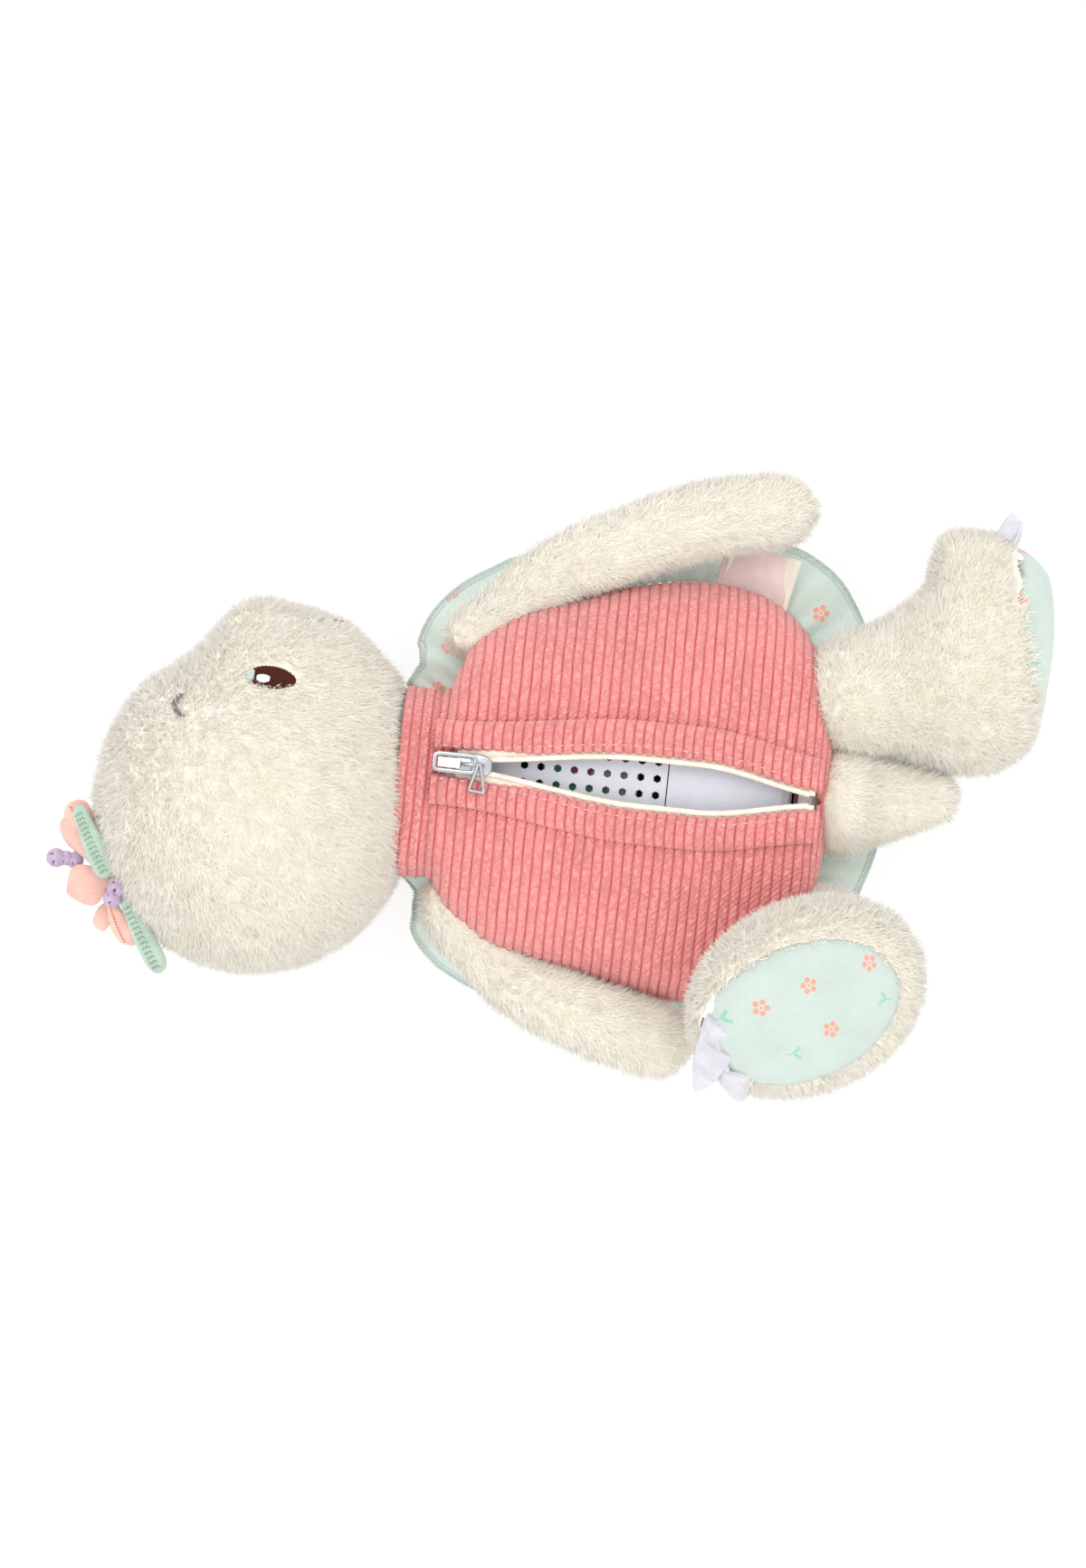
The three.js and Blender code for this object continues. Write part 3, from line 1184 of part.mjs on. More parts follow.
// Battery door, with its screw at the far end
const doorScrewPlace = [halfLength - DOOR_SCREW_END_INSET, DOOR_SCREW_SIDE_INSET - halfWidth];
const doorScrewTop = unitTop - SCREW_SINK;
const doorScrewHead = doorScrewTop - DOOR_SCREW_HEAD;
const doorScrewRoom = (from, radius, sides) => rod(
  radius + SEAM_GAP, from, unitTop + CUT, doorScrewPlace, 'z', sides);
const door = unitShell.intersect(doorCut)
  .subtract(doorScrewRoom(doorScrewHead - SEAM_GAP, SCREW_DIAMETER, 14))
  .subtract(doorScrewRoom(unitTop - doorDepth - CUT, SCREW_DIAMETER / 2, 12));
add('battery_door', geometryOf(door), WHITE, 0.4);
const doorScrewTip = doorScrewTop - DOOR_SCREW_LENGTH;
const doorScrew = rod(SCREW_DIAMETER, doorScrewHead, doorScrewTop, doorScrewPlace, 'z', 14)
  .add(rod(SCREW_DIAMETER / 2, doorScrewTip, doorScrewHead + CUT / 2, doorScrewPlace, 'z', 10));
add('door_screw', geometryOf(doorScrew), METAL, 0.35, 1);

// Battery tray with its cells and contacts
const cellLevel = unitTop - doorDepth - CELL_TO_DOOR - CELL_DIAMETER / 2;
const trayBottom = cellLevel - CELL_DIAMETER / 2 - CELL_TO_TRAY - TRAY_FLOOR;
const trayFrom = doorFrom + SEAM_GAP;
const trayTo = halfLength - UNIT_WALL - SEAM_GAP;
const trayHalf = CELL_LENGTH / 2 + CONTACT_ROOM;
const trayInner = trayHalf - TRAY_SIDE;
const tray = block([trayFrom - TRAY_END, -trayHalf, trayBottom], [trayTo, trayHalf, cellLevel + TRAY_RIM])
  .subtract(block([trayFrom, -trayInner, trayBottom + TRAY_FLOOR], [WIDE, trayInner, WIDE]))
  .subtract(rod(SCREW_DIAMETER / 2 + SEAM_GAP, trayBottom - CUT, WIDE, doorScrewPlace, 'z', 12))
  .intersect(innerCase(SEAM_GAP));
add('battery_tray', geometryOf(largest(tray)), TRAY_GREY, 0.6);
const cellFirst = trayFrom + CELL_GAP + CELL_DIAMETER / 2;
const cellMiddle = cellFirst + ((CELL_COUNT - 1) / 2) * cellPitch;
for (let k = 0; k < CELL_COUNT; k++) {
  const place = [cellFirst + k * cellPitch, cellLevel];
  const flip = k % 2 ? -1 : 1;
  const can = rod(CELL_DIAMETER / 2, -CELL_LENGTH / 2 + CELL_CAP, CELL_LENGTH / 2 - CELL_CAP, place, 'y', 18);
  const nubMiddle = (flip * (CELL_LENGTH - CELL_CAP)) / 2;
  const nub = rod(CELL_DIAMETER / 5, nubMiddle - NUB_HALF, nubMiddle + NUB_HALF, place, 'y', 10);
  add(`battery_${k + 1}`, geometryOf(can.add(nub)), CELL_GREEN, 0.35, 0.3);
}
const contactReach = CONTACT_REACH * cellPitch;
for (const [name, side] of Object.entries(SIDES)) {
  const outer = trayInner - SEAM_GAP;
  const inner = outer - CONTACT_THICKNESS;
  const [from, to] = side > 0 ? [inner, outer] : [-outer, -inner];
  const plate = block([cellMiddle - contactReach, from, cellLevel - CONTACT_DROP],
    [cellMiddle + contactReach, to, cellLevel + CONTACT_RISE]);
  add(`battery_contact_${name}`, geometryOf(plate), METAL, 0.35, 1);
}

// Board, LEDs, switch, speaker
const boardLevel = trayBottom - BOARD_TO_TRAY - BOARD_THICKNESS;
const [boardX, boardY] = [halfLength - BOARD_INSET, halfWidth - BOARD_INSET];
const board = block([-boardX, -boardY, boardLevel], [boardX, boardY, boardLevel + BOARD_THICKNESS])
  .subtract(join(screwPlaces.map((place) => rod(BOSS_DIAMETER / 2 + SEAM_GAP, 0, WIDE, place, 'z', 10))));
add('circuit_board', geometryOf(board), BOARD_GREEN, 0.6);
[-1, 1].forEach((k, index) => {
  const place = [k * LED_REACH, 0];
  const led = rod(LED_DIAMETER / 2, boardLevel - LED_HEIGHT, boardLevel - SEAM_GAP, place, 'z', 12);
  add(`led_${index + 1}`, geometryOf(led), CLEAR, 0.3);
});
const speakerTop = unitTop - UNIT_WALL - SEAM_GAP;
const basketBottom = speakerTop - SPEAKER_DEPTH + SPEAKER_RIM;
const disc = (radius, from, to, sides) => rod(radius, from, to, grilleCentre, 'z', sides);
const speaker = disc(SPEAKER_DIAMETER / 2, speakerTop - SPEAKER_RIM, speakerTop, 28)
  .subtract(disc(SPEAKER_DIAMETER / 2 - SPEAKER_RIM, speakerTop - SPEAKER_DISH, speakerTop + CUT, 24))
  .add(disc(SPEAKER_DIAMETER / 2 - BASKET_INSET, basketBottom, speakerTop - SPEAKER_RIM + 0.1 * CUT, 20));
add('speaker', geometryOf(speaker), DARK, 0.5);
const magnetTop = basketBottom - SEAM_GAP;
const magnet = disc(SPEAKER_DIAMETER / 4, magnetTop - MAGNET_HEIGHT, magnetTop, 20);
add('speaker_magnet', geometryOf(magnet), METAL, 0.4, 0.9);

const buttonShelf = unitTop - UNIT_WALL - SEAM_GAP;
const stemBottom = buttonShelf - BUTTON_STEM;
const button = rod(BUTTON_DIAMETER / 2, buttonShelf - CUT / 2, unitTop + BUTTON_RISE, buttonPlace, 'z', 16)
  .add(rod(BUTTON_DIAMETER / 2 + BUTTON_FLANGE, buttonShelf - CUT, buttonShelf, buttonPlace, 'z', 16))
  .add(rod(STEM_RADIUS, stemBottom, buttonShelf - 0.9 * CUT, buttonPlace, 'z', 10));
add('power_button', geometryOf(button), PEACH, 0.6);
const switchHalf = SWITCH_SIZE / 2;
const switchBody = block(
  [buttonPlace[0] - switchHalf, buttonPlace[1] - switchHalf, boardLevel + BOARD_THICKNESS + SEAM_GAP],
  [buttonPlace[0] + switchHalf, buttonPlace[1] + switchHalf, stemBottom - BUTTON_TRAVEL - SEAM_GAP]);
add('button_switch', geometryOf(switchBody), DARK, 0.5);

// Diffuser dome in the rear cover, shining through the shell
const lensTop = unitBottom + UNIT_WALL + SEAM_GAP;
const LENS_RINGS = 4;
const LENS_SIDES = 16;
const LENS_POLE = 0.03;
function domeSolid(radius, height) {
  const rings = [];
  for (let k = 0; k <= LENS_RINGS; k++) {
    const turn = Math.max((k / LENS_RINGS) * (Math.PI / 2), LENS_POLE);
    const ring = [];
    for (let j = 0; j < LENS_SIDES; j++) {
      const round = (j / LENS_SIDES) * 2 * Math.PI;
      const flat = radius * Math.sin(turn);
      const level = unitBottom - height * Math.cos(turn);
      ring.push(new THREE.Vector3(flat * Math.cos(round), flat * Math.sin(round), level));
    }
    rings.push(ring);
  }
  const rim = rings[rings.length - 1];
  rings.push(rim.map((point) => point.clone().setZ(lensTop + LENS_WALL)));
  return solidOf(skin(rings));
}
const lens = domeSolid(LENS_DIAMETER / 2, LENS_HEIGHT)
  .add(rod(LENS_DIAMETER / 2 + LENS_FLANGE, lensTop, lensTop + LENS_WALL, MIDDLE, 'z', LENS_SIDES))
  .subtract(domeSolid(LENS_DIAMETER / 2 - LENS_WALL, LENS_HEIGHT - LENS_WALL));
add('diffuser_lens', geometryOf(lens), MILK, 0.35);

export default group;
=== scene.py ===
"""Stuffed turtle night light that lies on its shell with the belly zip open, dressed round its frame."""

import json
import math

import bmesh
import bpy
import numpy as np
from bpy.props import FloatProperty, FloatVectorProperty, PointerProperty
from mathutils import Matrix, Vector, noise
from mathutils.bvhtree import BVHTree


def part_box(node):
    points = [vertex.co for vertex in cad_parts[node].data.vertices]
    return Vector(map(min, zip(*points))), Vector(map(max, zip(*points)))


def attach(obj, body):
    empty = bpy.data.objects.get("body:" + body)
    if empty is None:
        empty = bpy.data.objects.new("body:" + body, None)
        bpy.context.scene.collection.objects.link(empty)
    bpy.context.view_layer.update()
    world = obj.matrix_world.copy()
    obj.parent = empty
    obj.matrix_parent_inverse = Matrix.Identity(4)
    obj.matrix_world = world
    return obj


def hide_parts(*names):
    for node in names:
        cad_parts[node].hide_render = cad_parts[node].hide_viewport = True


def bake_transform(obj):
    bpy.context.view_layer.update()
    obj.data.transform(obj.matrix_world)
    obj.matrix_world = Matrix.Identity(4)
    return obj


bl_info = {
    "name": "Plush Turtle Night Light",
    "version": (1, 0, 0),
    "blender": (4, 5, 0),
    "location": "3D View > Sidebar > Night Light",
    "description": "Makes a stuffed turtle with a corduroy belly, a zip and a light unit inside",
    "category": "Add Mesh",
}

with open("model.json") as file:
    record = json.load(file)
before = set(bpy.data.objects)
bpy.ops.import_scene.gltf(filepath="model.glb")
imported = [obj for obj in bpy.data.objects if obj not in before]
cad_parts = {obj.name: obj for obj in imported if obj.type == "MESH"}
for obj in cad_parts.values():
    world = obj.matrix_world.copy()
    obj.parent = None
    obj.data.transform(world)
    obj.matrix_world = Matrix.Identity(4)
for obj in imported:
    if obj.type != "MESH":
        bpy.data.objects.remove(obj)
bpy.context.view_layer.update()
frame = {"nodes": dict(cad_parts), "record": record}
MM = 0.001
SIDES = (("left", 1), ("right", -1))  # name of each side, and the sign of its Y
grounds = {}  # smooth forms by name, which stitches and trims are laid on


def srgb(red, green, blue):
    """Screen colour from 0 to 255, as the linear colour that shaders take."""
    shares = [value / 255 for value in (red, green, blue)]
    return tuple(v / 12.92 if v <= 0.04045 else ((v + 0.055) / 1.055) ** 2.4 for v in shares)


def length(name, size, description):
    """Property for a length, written here in millimetres."""
    return FloatProperty(
        name=name, description=description, default=size * MM, min=0, precision=5, unit="LENGTH")


def tint(name, rgb, description):
    """Property for a colour, written here from 0 to 255."""
    return FloatVectorProperty(
        name=name, description=description, default=srgb(*rgb), size=3, min=0, max=1, subtype="COLOR")


class PlushSettings(bpy.types.PropertyGroup):
    """Pile of the head, arms, legs and tail."""
    colour: tint("Plush", (253, 250, 241), "Colour of the curly pile")
    shade: tint("Plush shade", (249, 240, 218), "Colour of its deeper and warmer places")
    pile_length: length("Pile length", 2.6, "Length of one strand")
    strand_width: length("Strand width", 0.34, "Width of one strand at its root")
    density: FloatProperty(
        name="Density", description="Strands on a square millimetre", default=4.2, min=0.1)
    clump: length("Clump", 2.3, "Distance between the curls that the pile gathers into")
    lean: FloatProperty(name="Lean", description="How far the curls lean apart", default=0.5, min=0)


class CorduroySettings(bpy.types.PropertyGroup):
    """Ribbed cloth of the belly, the welts and the collar."""
    colour: tint("Rib", (224, 136, 133), "Colour on top of a rib")
    # Groove colour is painted shade, laid between the ribs over their real shape
    groove: tint("Groove", (194, 80, 88), "Colour between two ribs")
    pitch: length("Rib pitch", 2.75, "Distance from rib to rib")
    height: length("Rib height", 0.55, "How far a rib stands over its grooves")


class JerseySettings(bpy.types.PropertyGroup):
    """Printed mint jersey of the shell, the ruffle and the soles."""
    colour: tint("Jersey", (204, 219, 213), "Colour of the ground")
    blossom: tint("Blossom", (243, 140, 112), "Colour of the small blossoms")
    leaf: tint("Leaf", (128, 192, 172), "Colour of the small leaf pairs")
    repeat: length("Repeat", 14.5, "Distance from motif to motif")
    overlock: tint("Overlock", (196, 212, 206), "Colour of the thread round the ruffle's edge")


class TrimSettings(bpy.types.PropertyGroup):
    """Embroidery, felt and zip."""
    eye: tint("Eye", (72, 26, 12), "Colour of the eyes' thread")
    felt: tint("Petal felt", (232, 184, 172), "Colour of the petals")
    leaf: tint("Leaf felt", (176, 198, 182), "Colour of the leaves")
    chenille: tint("Chenille", (196, 174, 204), "Colour of the knobs")
    tape: tint("Zip tape", (250, 244, 228), "Colour of tape and coil")
    metal: tint("Metal", (196, 198, 202), "Colour of the slider and its pull")
    stitch_pitch: length("Stitch pitch", 2.9, "Distance from stitch to stitch")


class UnitSettings(bpy.types.PropertyGroup):
    """Light unit in the pocket."""
    colour: tint("Plastic", (206, 210, 220), "Colour of the housing")


class StageSettings(bpy.types.PropertyGroup):
    """Camera, floor and light."""
    camera_height: FloatProperty(
        name="Camera height", description="Height of the camera over the floor", default=1.1, unit="LENGTH")
    frame_width: FloatProperty(
        name="Frame width", description="Width that the picture shows at the belly", default=0.3,
        unit="LENGTH")
    floor: tint("Floor", (252, 252, 252), "Colour of the floor")
    sky: FloatProperty(name="Sky", description="Strength of the light from all round", default=1.36, min=0)
    key: FloatProperty(
        name="Key light", description="Power of the lamp over the toy", default=5.0, min=0, unit="POWER")


SETTINGS = {
    "plush": PlushSettings,
    "corduroy": CorduroySettings,
    "jersey": JerseySettings,
    "trim": TrimSettings,
    "unit": UnitSettings,
    "stage": StageSettings,
}


def settings(name):
    return getattr(bpy.context.scene, f"turtle_{name}")


# Shader nodes, and the node groups that materials share

def wire(tree, kind, sockets=None, **options):
    """Adds a node. A socket given as another node's output is linked, and anything else is its value."""
    node = tree.nodes.new(kind)
    for name, value in options.items():
        setattr(node, name, value)
    for key, value in (sockets or {}).items():
        if isinstance(value, bpy.types.NodeSocket):
            tree.links.new(value, node.inputs[key])
        else:
            node.inputs[key].default_value = value
    return node


def calc(tree, operation, *values):
    return wire(tree, "ShaderNodeMath", dict(enumerate(values)), operation=operation).outputs[0]


def times(tree, first, second):
    return calc(tree, "MULTIPLY", first, second)


def plus(tree, first, second):
    return calc(tree, "ADD", first, second)


def minus(tree, first, second):
    return calc(tree, "SUBTRACT", first, second)


def vector_calc(tree, operation, *values, out="Vector"):
    sockets = dict(enumerate(values))
    if operation == "SCALE":
        sockets = {0: values[0], "Scale": values[1]}
    return wire(tree, "ShaderNodeVectorMath", sockets, operation=operation).outputs[out]


def mixed(tree, factor, first, second):
    """Colour between two colours."""
    pair = [value if isinstance(value, bpy.types.NodeSocket) else (*value, 1) for value in (first, second)]
    node = wire(tree, "ShaderNodeMix", {0: factor, 6: pair[0], 7: pair[1]}, data_type="RGBA")
    return node.outputs[2]


def ramp(tree, value, low, high):
    """0 under low, 1 over high, and smooth between; low may be the larger one."""
    sockets = {0: value, 1: low, 2: high, 3: 0.0, 4: 1.0}
    return wire(tree, "ShaderNodeMapRange", sockets, interpolation_type="SMOOTHSTEP").outputs[0]


def own_place(tree):
    """Place on the object itself, which every pattern reads."""
    return wire(tree, "ShaderNodeTexCoord").outputs["Object"]


def axes_of(tree, vector):
    return wire(tree, "ShaderNodeSeparateXYZ", {0: vector}).outputs


def shared_group(name, kind, inputs, outputs, fill):
    """Node group built once: fill(tree, inputs) gives its outputs by name."""
    if name in bpy.data.node_groups:
        return bpy.data.node_groups[name]
    tree = bpy.data.node_groups.new(name, kind)
    for label, (socket, default) in inputs.items():
        made = tree.interface.new_socket(label, in_out="INPUT", socket_type=socket)
        if default is not None:
            made.default_value = default
    for label, socket in outputs.items():
        tree.interface.new_socket(label, in_out="OUTPUT", socket_type=socket)
    results = fill(tree, tree.nodes.new("NodeGroupInput").outputs)
    end = tree.nodes.new("NodeGroupOutput")
    for label, output in results.items():
        tree.links.new(output, end.inputs[label])
    return tree


FLOAT = "NodeSocketFloat"
INTEGER = "NodeSocketInt"
GEOMETRY = "NodeSocketGeometry"
MATERIAL = "NodeSocketMaterial"


def fibre_group():
    """Soft mottling and fine fibres: Tone for the colour and Height for the bump."""
    def fill(tree, given):
        place = own_place(tree)
        cloud = wire(tree, "ShaderNodeTexNoise", {
            "Vector": place, "Scale": given["Clouds"], "Detail": 3.0, "Roughness": 0.6})
        fibre = wire(tree, "ShaderNodeTexNoise", {
            "Vector": place, "Scale": given["Fibres"], "Detail": 5.0, "Roughness": 0.75, "Distortion": 0.6})
        blend = plus(tree, times(tree, cloud.outputs[0], 0.6), times(tree, fibre.outputs[0], 0.4))
        return {"Tone": ramp(tree, blend, 0.38, 0.62), "Height": fibre.outputs[0]}
    return shared_group(
        "Fibre grain", "ShaderNodeTree", {"Clouds": (FLOAT, 120.0), "Fibres": (FLOAT, 1600.0)},
        {"Tone": FLOAT, "Height": FLOAT}, fill)


def weave_group():
    """Crossing yarns at a pitch: Height is high on the yarns and low in the holes between them."""
    def fill(tree, given):
        place = own_place(tree)
        axes = axes_of(tree, place)
        turn = calc(tree, "DIVIDE", 2 * math.pi, given["Pitch"])
        across = calc(tree, "SINE", times(tree, axes[0], turn))
        along = calc(tree, "SINE", times(tree, axes[1], turn))
        return {"Height": times(tree, across, along)}
    return shared_group("Weave", "ShaderNodeTree", {"Pitch": (FLOAT, 0.0008)}, {"Height": FLOAT}, fill)


def twist_group():
    """Twisted yarn: slanting lines that run across the strand."""
    def fill(tree, given):
        place = own_place(tree)
        slant = wire(tree, "ShaderNodeMapping", {"Vector": place, "Rotation": (0.4, 0.3, 0.9)})
        wave = wire(tree, "ShaderNodeTexWave", {
            "Vector": slant.outputs[0], "Scale": given["Scale"], "Distortion": 1.2, "Detail": 2.0,
            "Detail Scale": 2.0})
        return {"Height": wave.outputs[1]}
    return shared_group(
        "Twisted yarn", "ShaderNodeTree", {"Scale": (FLOAT, 500.0)}, {"Height": FLOAT}, fill)


def wear_group():
    """Fine scratches and handling marks: Marks is high where the surface is rubbed."""
    def fill(tree, given):
        place = own_place(tree)
        drawn = wire(tree, "ShaderNodeMapping", {
            "Vector": place, "Rotation": (0.0, 0.0, 0.5), "Scale": (1.0, 9.0, 3.0)})
        fine = wire(tree, "ShaderNodeTexNoise", {
            "Vector": drawn.outputs[0], "Scale": given["Scale"], "Detail": 6.0, "Roughness": 0.7})
        broad = wire(tree, "ShaderNodeTexNoise", {"Vector": place, "Scale": 90.0, "Detail": 2.0})
        return {"Marks": ramp(tree, times(tree, fine.outputs[0], broad.outputs[0]), 0.18, 0.42)}
    return shared_group(
        "Handling wear", "ShaderNodeTree", {"Scale": (FLOAT, 260.0)}, {"Marks": FLOAT}, fill)


def sprig_group():
    """Small print on the cloth's own map: five-dot blossoms and pairs of leaves, one to a cell."""
    def fill(tree, given):
        def sized(share):
            return times(tree, given["Size"], share)

        def squared(value, reach):
            return calc(tree, "POWER", calc(tree, "DIVIDE", value, reach), 2.0)

        cloth = wire(tree, "ShaderNodeUVMap", uv_map="Cloth").outputs[0]
        scaled = vector_calc(tree, "SCALE", cloth, calc(tree, "DIVIDE", 1.0, given["Repeat"]))
        cell = wire(tree, "ShaderNodeTexVoronoi", {
            "Vector": scaled, "Scale": 1.0, "Randomness": 0.55}, voronoi_dimensions="2D")
        offset = vector_calc(tree, "SUBTRACT", scaled, cell.outputs["Position"])
        local = vector_calc(tree, "SCALE", offset, given["Repeat"])
        chance = axes_of(tree, cell.outputs["Color"])
        turned = wire(tree, "ShaderNodeVectorRotate", {
            "Vector": local, "Angle": times(tree, chance[1], 6.28)}, rotation_type="Z_AXIS").outputs[0]
        axes = axes_of(tree, turned)
        # Blossom: five dots round a heart
        reach = vector_calc(tree, "LENGTH", turned, out="Value")
        fifth = 2 * math.pi / 5
        angle = calc(tree, "FLOORED_MODULO", calc(tree, "ARCTAN2", axes[1], axes[0]), fifth)
        folded = minus(tree, angle, fifth / 2)
        dot_x = minus(tree, times(tree, reach, calc(tree, "COSINE", folded)), sized(0.34))
        dot_y = times(tree, reach, calc(tree, "SINE", folded))
        dot = calc(tree, "SQRT", plus(tree, times(tree, dot_x, dot_x), times(tree, dot_y, dot_y)))
        petal = calc(tree, "LESS_THAN", dot, sized(0.17))
        heart = calc(tree, "LESS_THAN", reach, sized(0.09))
        bloom = calc(tree, "MAXIMUM", petal, heart)
        # Sprig: a leaf on each side of a stalk
        mirrored = calc(tree, "ABSOLUTE", axes[1])
        leaf_x = minus(tree, plus(tree, times(tree, axes[0], 0.8), times(tree, mirrored, 0.6)), sized(0.3))
        leaf_y = minus(tree, times(tree, mirrored, 0.8), times(tree, axes[0], 0.6))
        oval = plus(tree, squared(leaf_x, sized(0.3)), squared(leaf_y, sized(0.11)))
        blade = calc(tree, "LESS_THAN", oval, 1.0)
        along = calc(tree, "ABSOLUTE", plus(tree, axes[0], sized(0.2)))
        stalk = times(tree, calc(tree, "LESS_THAN", mirrored, sized(0.035)),
                      calc(tree, "LESS_THAN", along, sized(0.22)))
        leaves = calc(tree, "MAXIMUM", blade, stalk)
        is_bloom = calc(tree, "GREATER_THAN", chance[0], 0.5)
        is_leaf = calc(tree, "LESS_THAN", chance[0], 0.46)
        return {"Blossom": times(tree, bloom, is_bloom), "Leaf": times(tree, leaves, is_leaf)}
    return shared_group(
        "Sprig print", "ShaderNodeTree", {"Repeat": (FLOAT, 0.013), "Size": (FLOAT, 0.0046)},
        {"Blossom": FLOAT, "Leaf": FLOAT}, fill)


# Materials

def new_material(name, roughness=0.9, metallic=0.0, sheen=0.0):
    material = bpy.data.materials.new(name)
    material.use_nodes = True
    tree = material.node_tree
    shader = tree.nodes["Principled BSDF"]
    shader.inputs["Roughness"].default_value = roughness
    shader.inputs["Metallic"].default_value = metallic
    if sheen:
        shader.inputs["Sheen Weight"].default_value = sheen
        shader.inputs["Sheen Roughness"].default_value = 0.5
    return material, tree, shader


def painted(tree, shader, colour):
    tree.links.new(colour, shader.inputs["Base Color"])


def bumped(tree, shader, height, distance, strength=0.6):
    sockets = {"Height": height, "Distance": distance * MM, "Strength": strength}
    tree.links.new(wire(tree, "ShaderNodeBump", sockets).outputs[0], shader.inputs["Normal"])


def use(tree, group, **values):
    node = wire(tree, "ShaderNodeGroup", node_tree=group)
    for name, value in values.items():
        node.inputs[name].default_value = value
    return node.outputs


def darker(colour, share=0.8):
    return tuple(value * share for value in colour)


def cloth_material(name, colour, shade=None, clouds=120.0, fibres=1600.0, bump=0.25, sheen=0.15,
                   roughness=0.9):
    """Matt cloth: mottled colour and a fibrous surface."""
    material, tree, shader = new_material(name, roughness, sheen=sheen)
    grain = use(tree, fibre_group(), Clouds=clouds, Fibres=fibres)
    painted(tree, shader, mixed(tree, grain["Tone"], shade or darker(colour), tuple(colour)))
    bumped(tree, shader, grain["Height"], bump)
    return material


def pile_material(name, colour, shade):
    """Strands: each has its own tone, darker and warmer towards the shade.

    A faint glow stands in for the light that real pile passes on from strand to strand.
    """
    material, tree, shader = new_material(name, 0.85, sheen=0.6)
    shader.inputs["Emission Color"].default_value = (*colour, 1)
    shader.inputs["Emission Strength"].default_value = 0.08
    tone = wire(tree, "ShaderNodeAttribute", attribute_name="tone").outputs["Fac"]
    grain = use(tree, fibre_group(), Clouds=90.0, Fibres=900.0)
    both = plus(tree, times(tree, tone, 0.65), times(tree, grain["Tone"], 0.35))
    painted(tree, shader, mixed(tree, both, shade, colour))
    return material


def corduroy_material(name):
    cord = settings("corduroy")
    material, tree, shader = new_material(name, 0.95, sheen=0.35)
    # Painted shade: the cloth takes the groove colour where the groove attribute is high, between the ribs
    depth = wire(tree, "ShaderNodeAttribute", attribute_name="groove").outputs["Fac"]
    grain = use(tree, fibre_group(), Clouds=60.0, Fibres=750.0)
    yarn = use(tree, twist_group(), Scale=330.0)
    ragged = plus(tree, depth, times(tree, minus(tree, grain["Height"], 0.5), 0.9))
    top = mixed(tree, grain["Tone"], darker(cord.colour, 0.86), tuple(cord.colour))
    # Painted highlight: paler colour where the fibres' bump rises
    raised_fibre_highlight = times(tree, ramp(tree, grain["Height"], 0.46, 0.6), 0.75)
    top = mixed(tree, raised_fibre_highlight, top, tuple(min(1, value * 1.3 + 0.05) for value in cord.colour))
    painted(tree, shader, mixed(tree, ramp(tree, ragged, 0.25, 0.85), top, tuple(cord.groove)))
    bumped(tree, shader, plus(tree, grain["Height"], times(tree, yarn["Height"], 0.6)), 0.55, 0.9)
    return material


def jersey_material(name, share=1.0):
    """Printed knit; share darkens its ground."""
    jersey = settings("jersey")
    plain = darker(jersey.colour, share)
    material, tree, shader = new_material(name, 0.88, sheen=0.1)
    grain = use(tree, fibre_group(), Clouds=80.0, Fibres=1300.0)
    knit = use(tree, weave_group(), Pitch=0.0009)
    ground = mixed(tree, grain["Tone"], darker(plain, 0.93), plain)
    motifs = use(tree, sprig_group(), Repeat=jersey.repeat)
    with_bloom = mixed(tree, times(tree, motifs["Blossom"], 0.78), ground, tuple(jersey.blossom))
    painted(tree, shader, mixed(tree, times(tree, motifs["Leaf"], 0.75), with_bloom, tuple(jersey.leaf)))
    bumped(tree, shader, plus(tree, knit["Height"], grain["Height"]), 0.12)
    return material


def thread_material(name, colour, roughness=0.6):
    material, tree, shader = new_material(name, roughness)
    shader.inputs["Specular IOR Level"].default_value = 0.2
    yarn = use(tree, twist_group(), Scale=900.0)
    # Painted shade: the thread is darker where its twist lies low, between the plies
    painted(tree, shader, mixed(tree, yarn["Height"], darker(colour, 0.8), tuple(colour)))
    bumped(tree, shader, yarn["Height"], 0.1)
    return material


def woven_material(name, colour, pitch=0.7, roughness=0.8, sheen=0.1):
    material, tree, shader = new_material(name, roughness, sheen=sheen)
    weave = use(tree, weave_group(), Pitch=pitch * MM)
    grain = use(tree, fibre_group(), Clouds=150.0, Fibres=2200.0)
    painted(tree, shader, mixed(tree, grain["Tone"], darker(colour, 0.88), tuple(colour)))
    bumped(tree, shader, plus(tree, weave["Height"], grain["Height"]), 0.15)
    return material


def hard_material(name, colour, roughness, metallic=0.0, scale=260.0, worn=0.12):
    """Plastic or metal with handling marks in its gloss and a faint unevenness."""
    material, tree, shader = new_material(name, roughness, metallic)
    marks = use(tree, wear_group(), Scale=scale)["Marks"]
    painted(tree, shader, mixed(tree, marks, tuple(colour), darker(colour, 0.93)))
    rough = wire(tree, "ShaderNodeMapRange", {0: marks, 3: roughness, 4: roughness + worn})
    tree.links.new(rough.outputs[0], shader.inputs["Roughness"])
    bumped(tree, shader, marks, 0.03, 0.3)
    return material


def speckled_material(name, colours, scale, roughness):
    """Small patches of three colours, as parts behind a grille show them."""
    material, tree, shader = new_material(name, roughness)
    place = own_place(tree)
    cell = wire(tree, "ShaderNodeTexVoronoi", {"Vector": place, "Scale": scale})
    chance = axes_of(tree, cell.outputs["Color"])[0]
    first = mixed(tree, calc(tree, "GREATER_THAN", chance, 0.5), colours[0], colours[1])
    painted(tree, shader, mixed(tree, calc(tree, "GREATER_THAN", chance, 0.8), first, colours[2]))
    return material


# Meshes, in millimetres until they become an object

def in_scene(name, data):
    """New object in the scene: a mesh, a camera or a lamp."""
    obj = bpy.data.objects.new(name, data)
    bpy.context.scene.collection.objects.link(obj)
    return obj


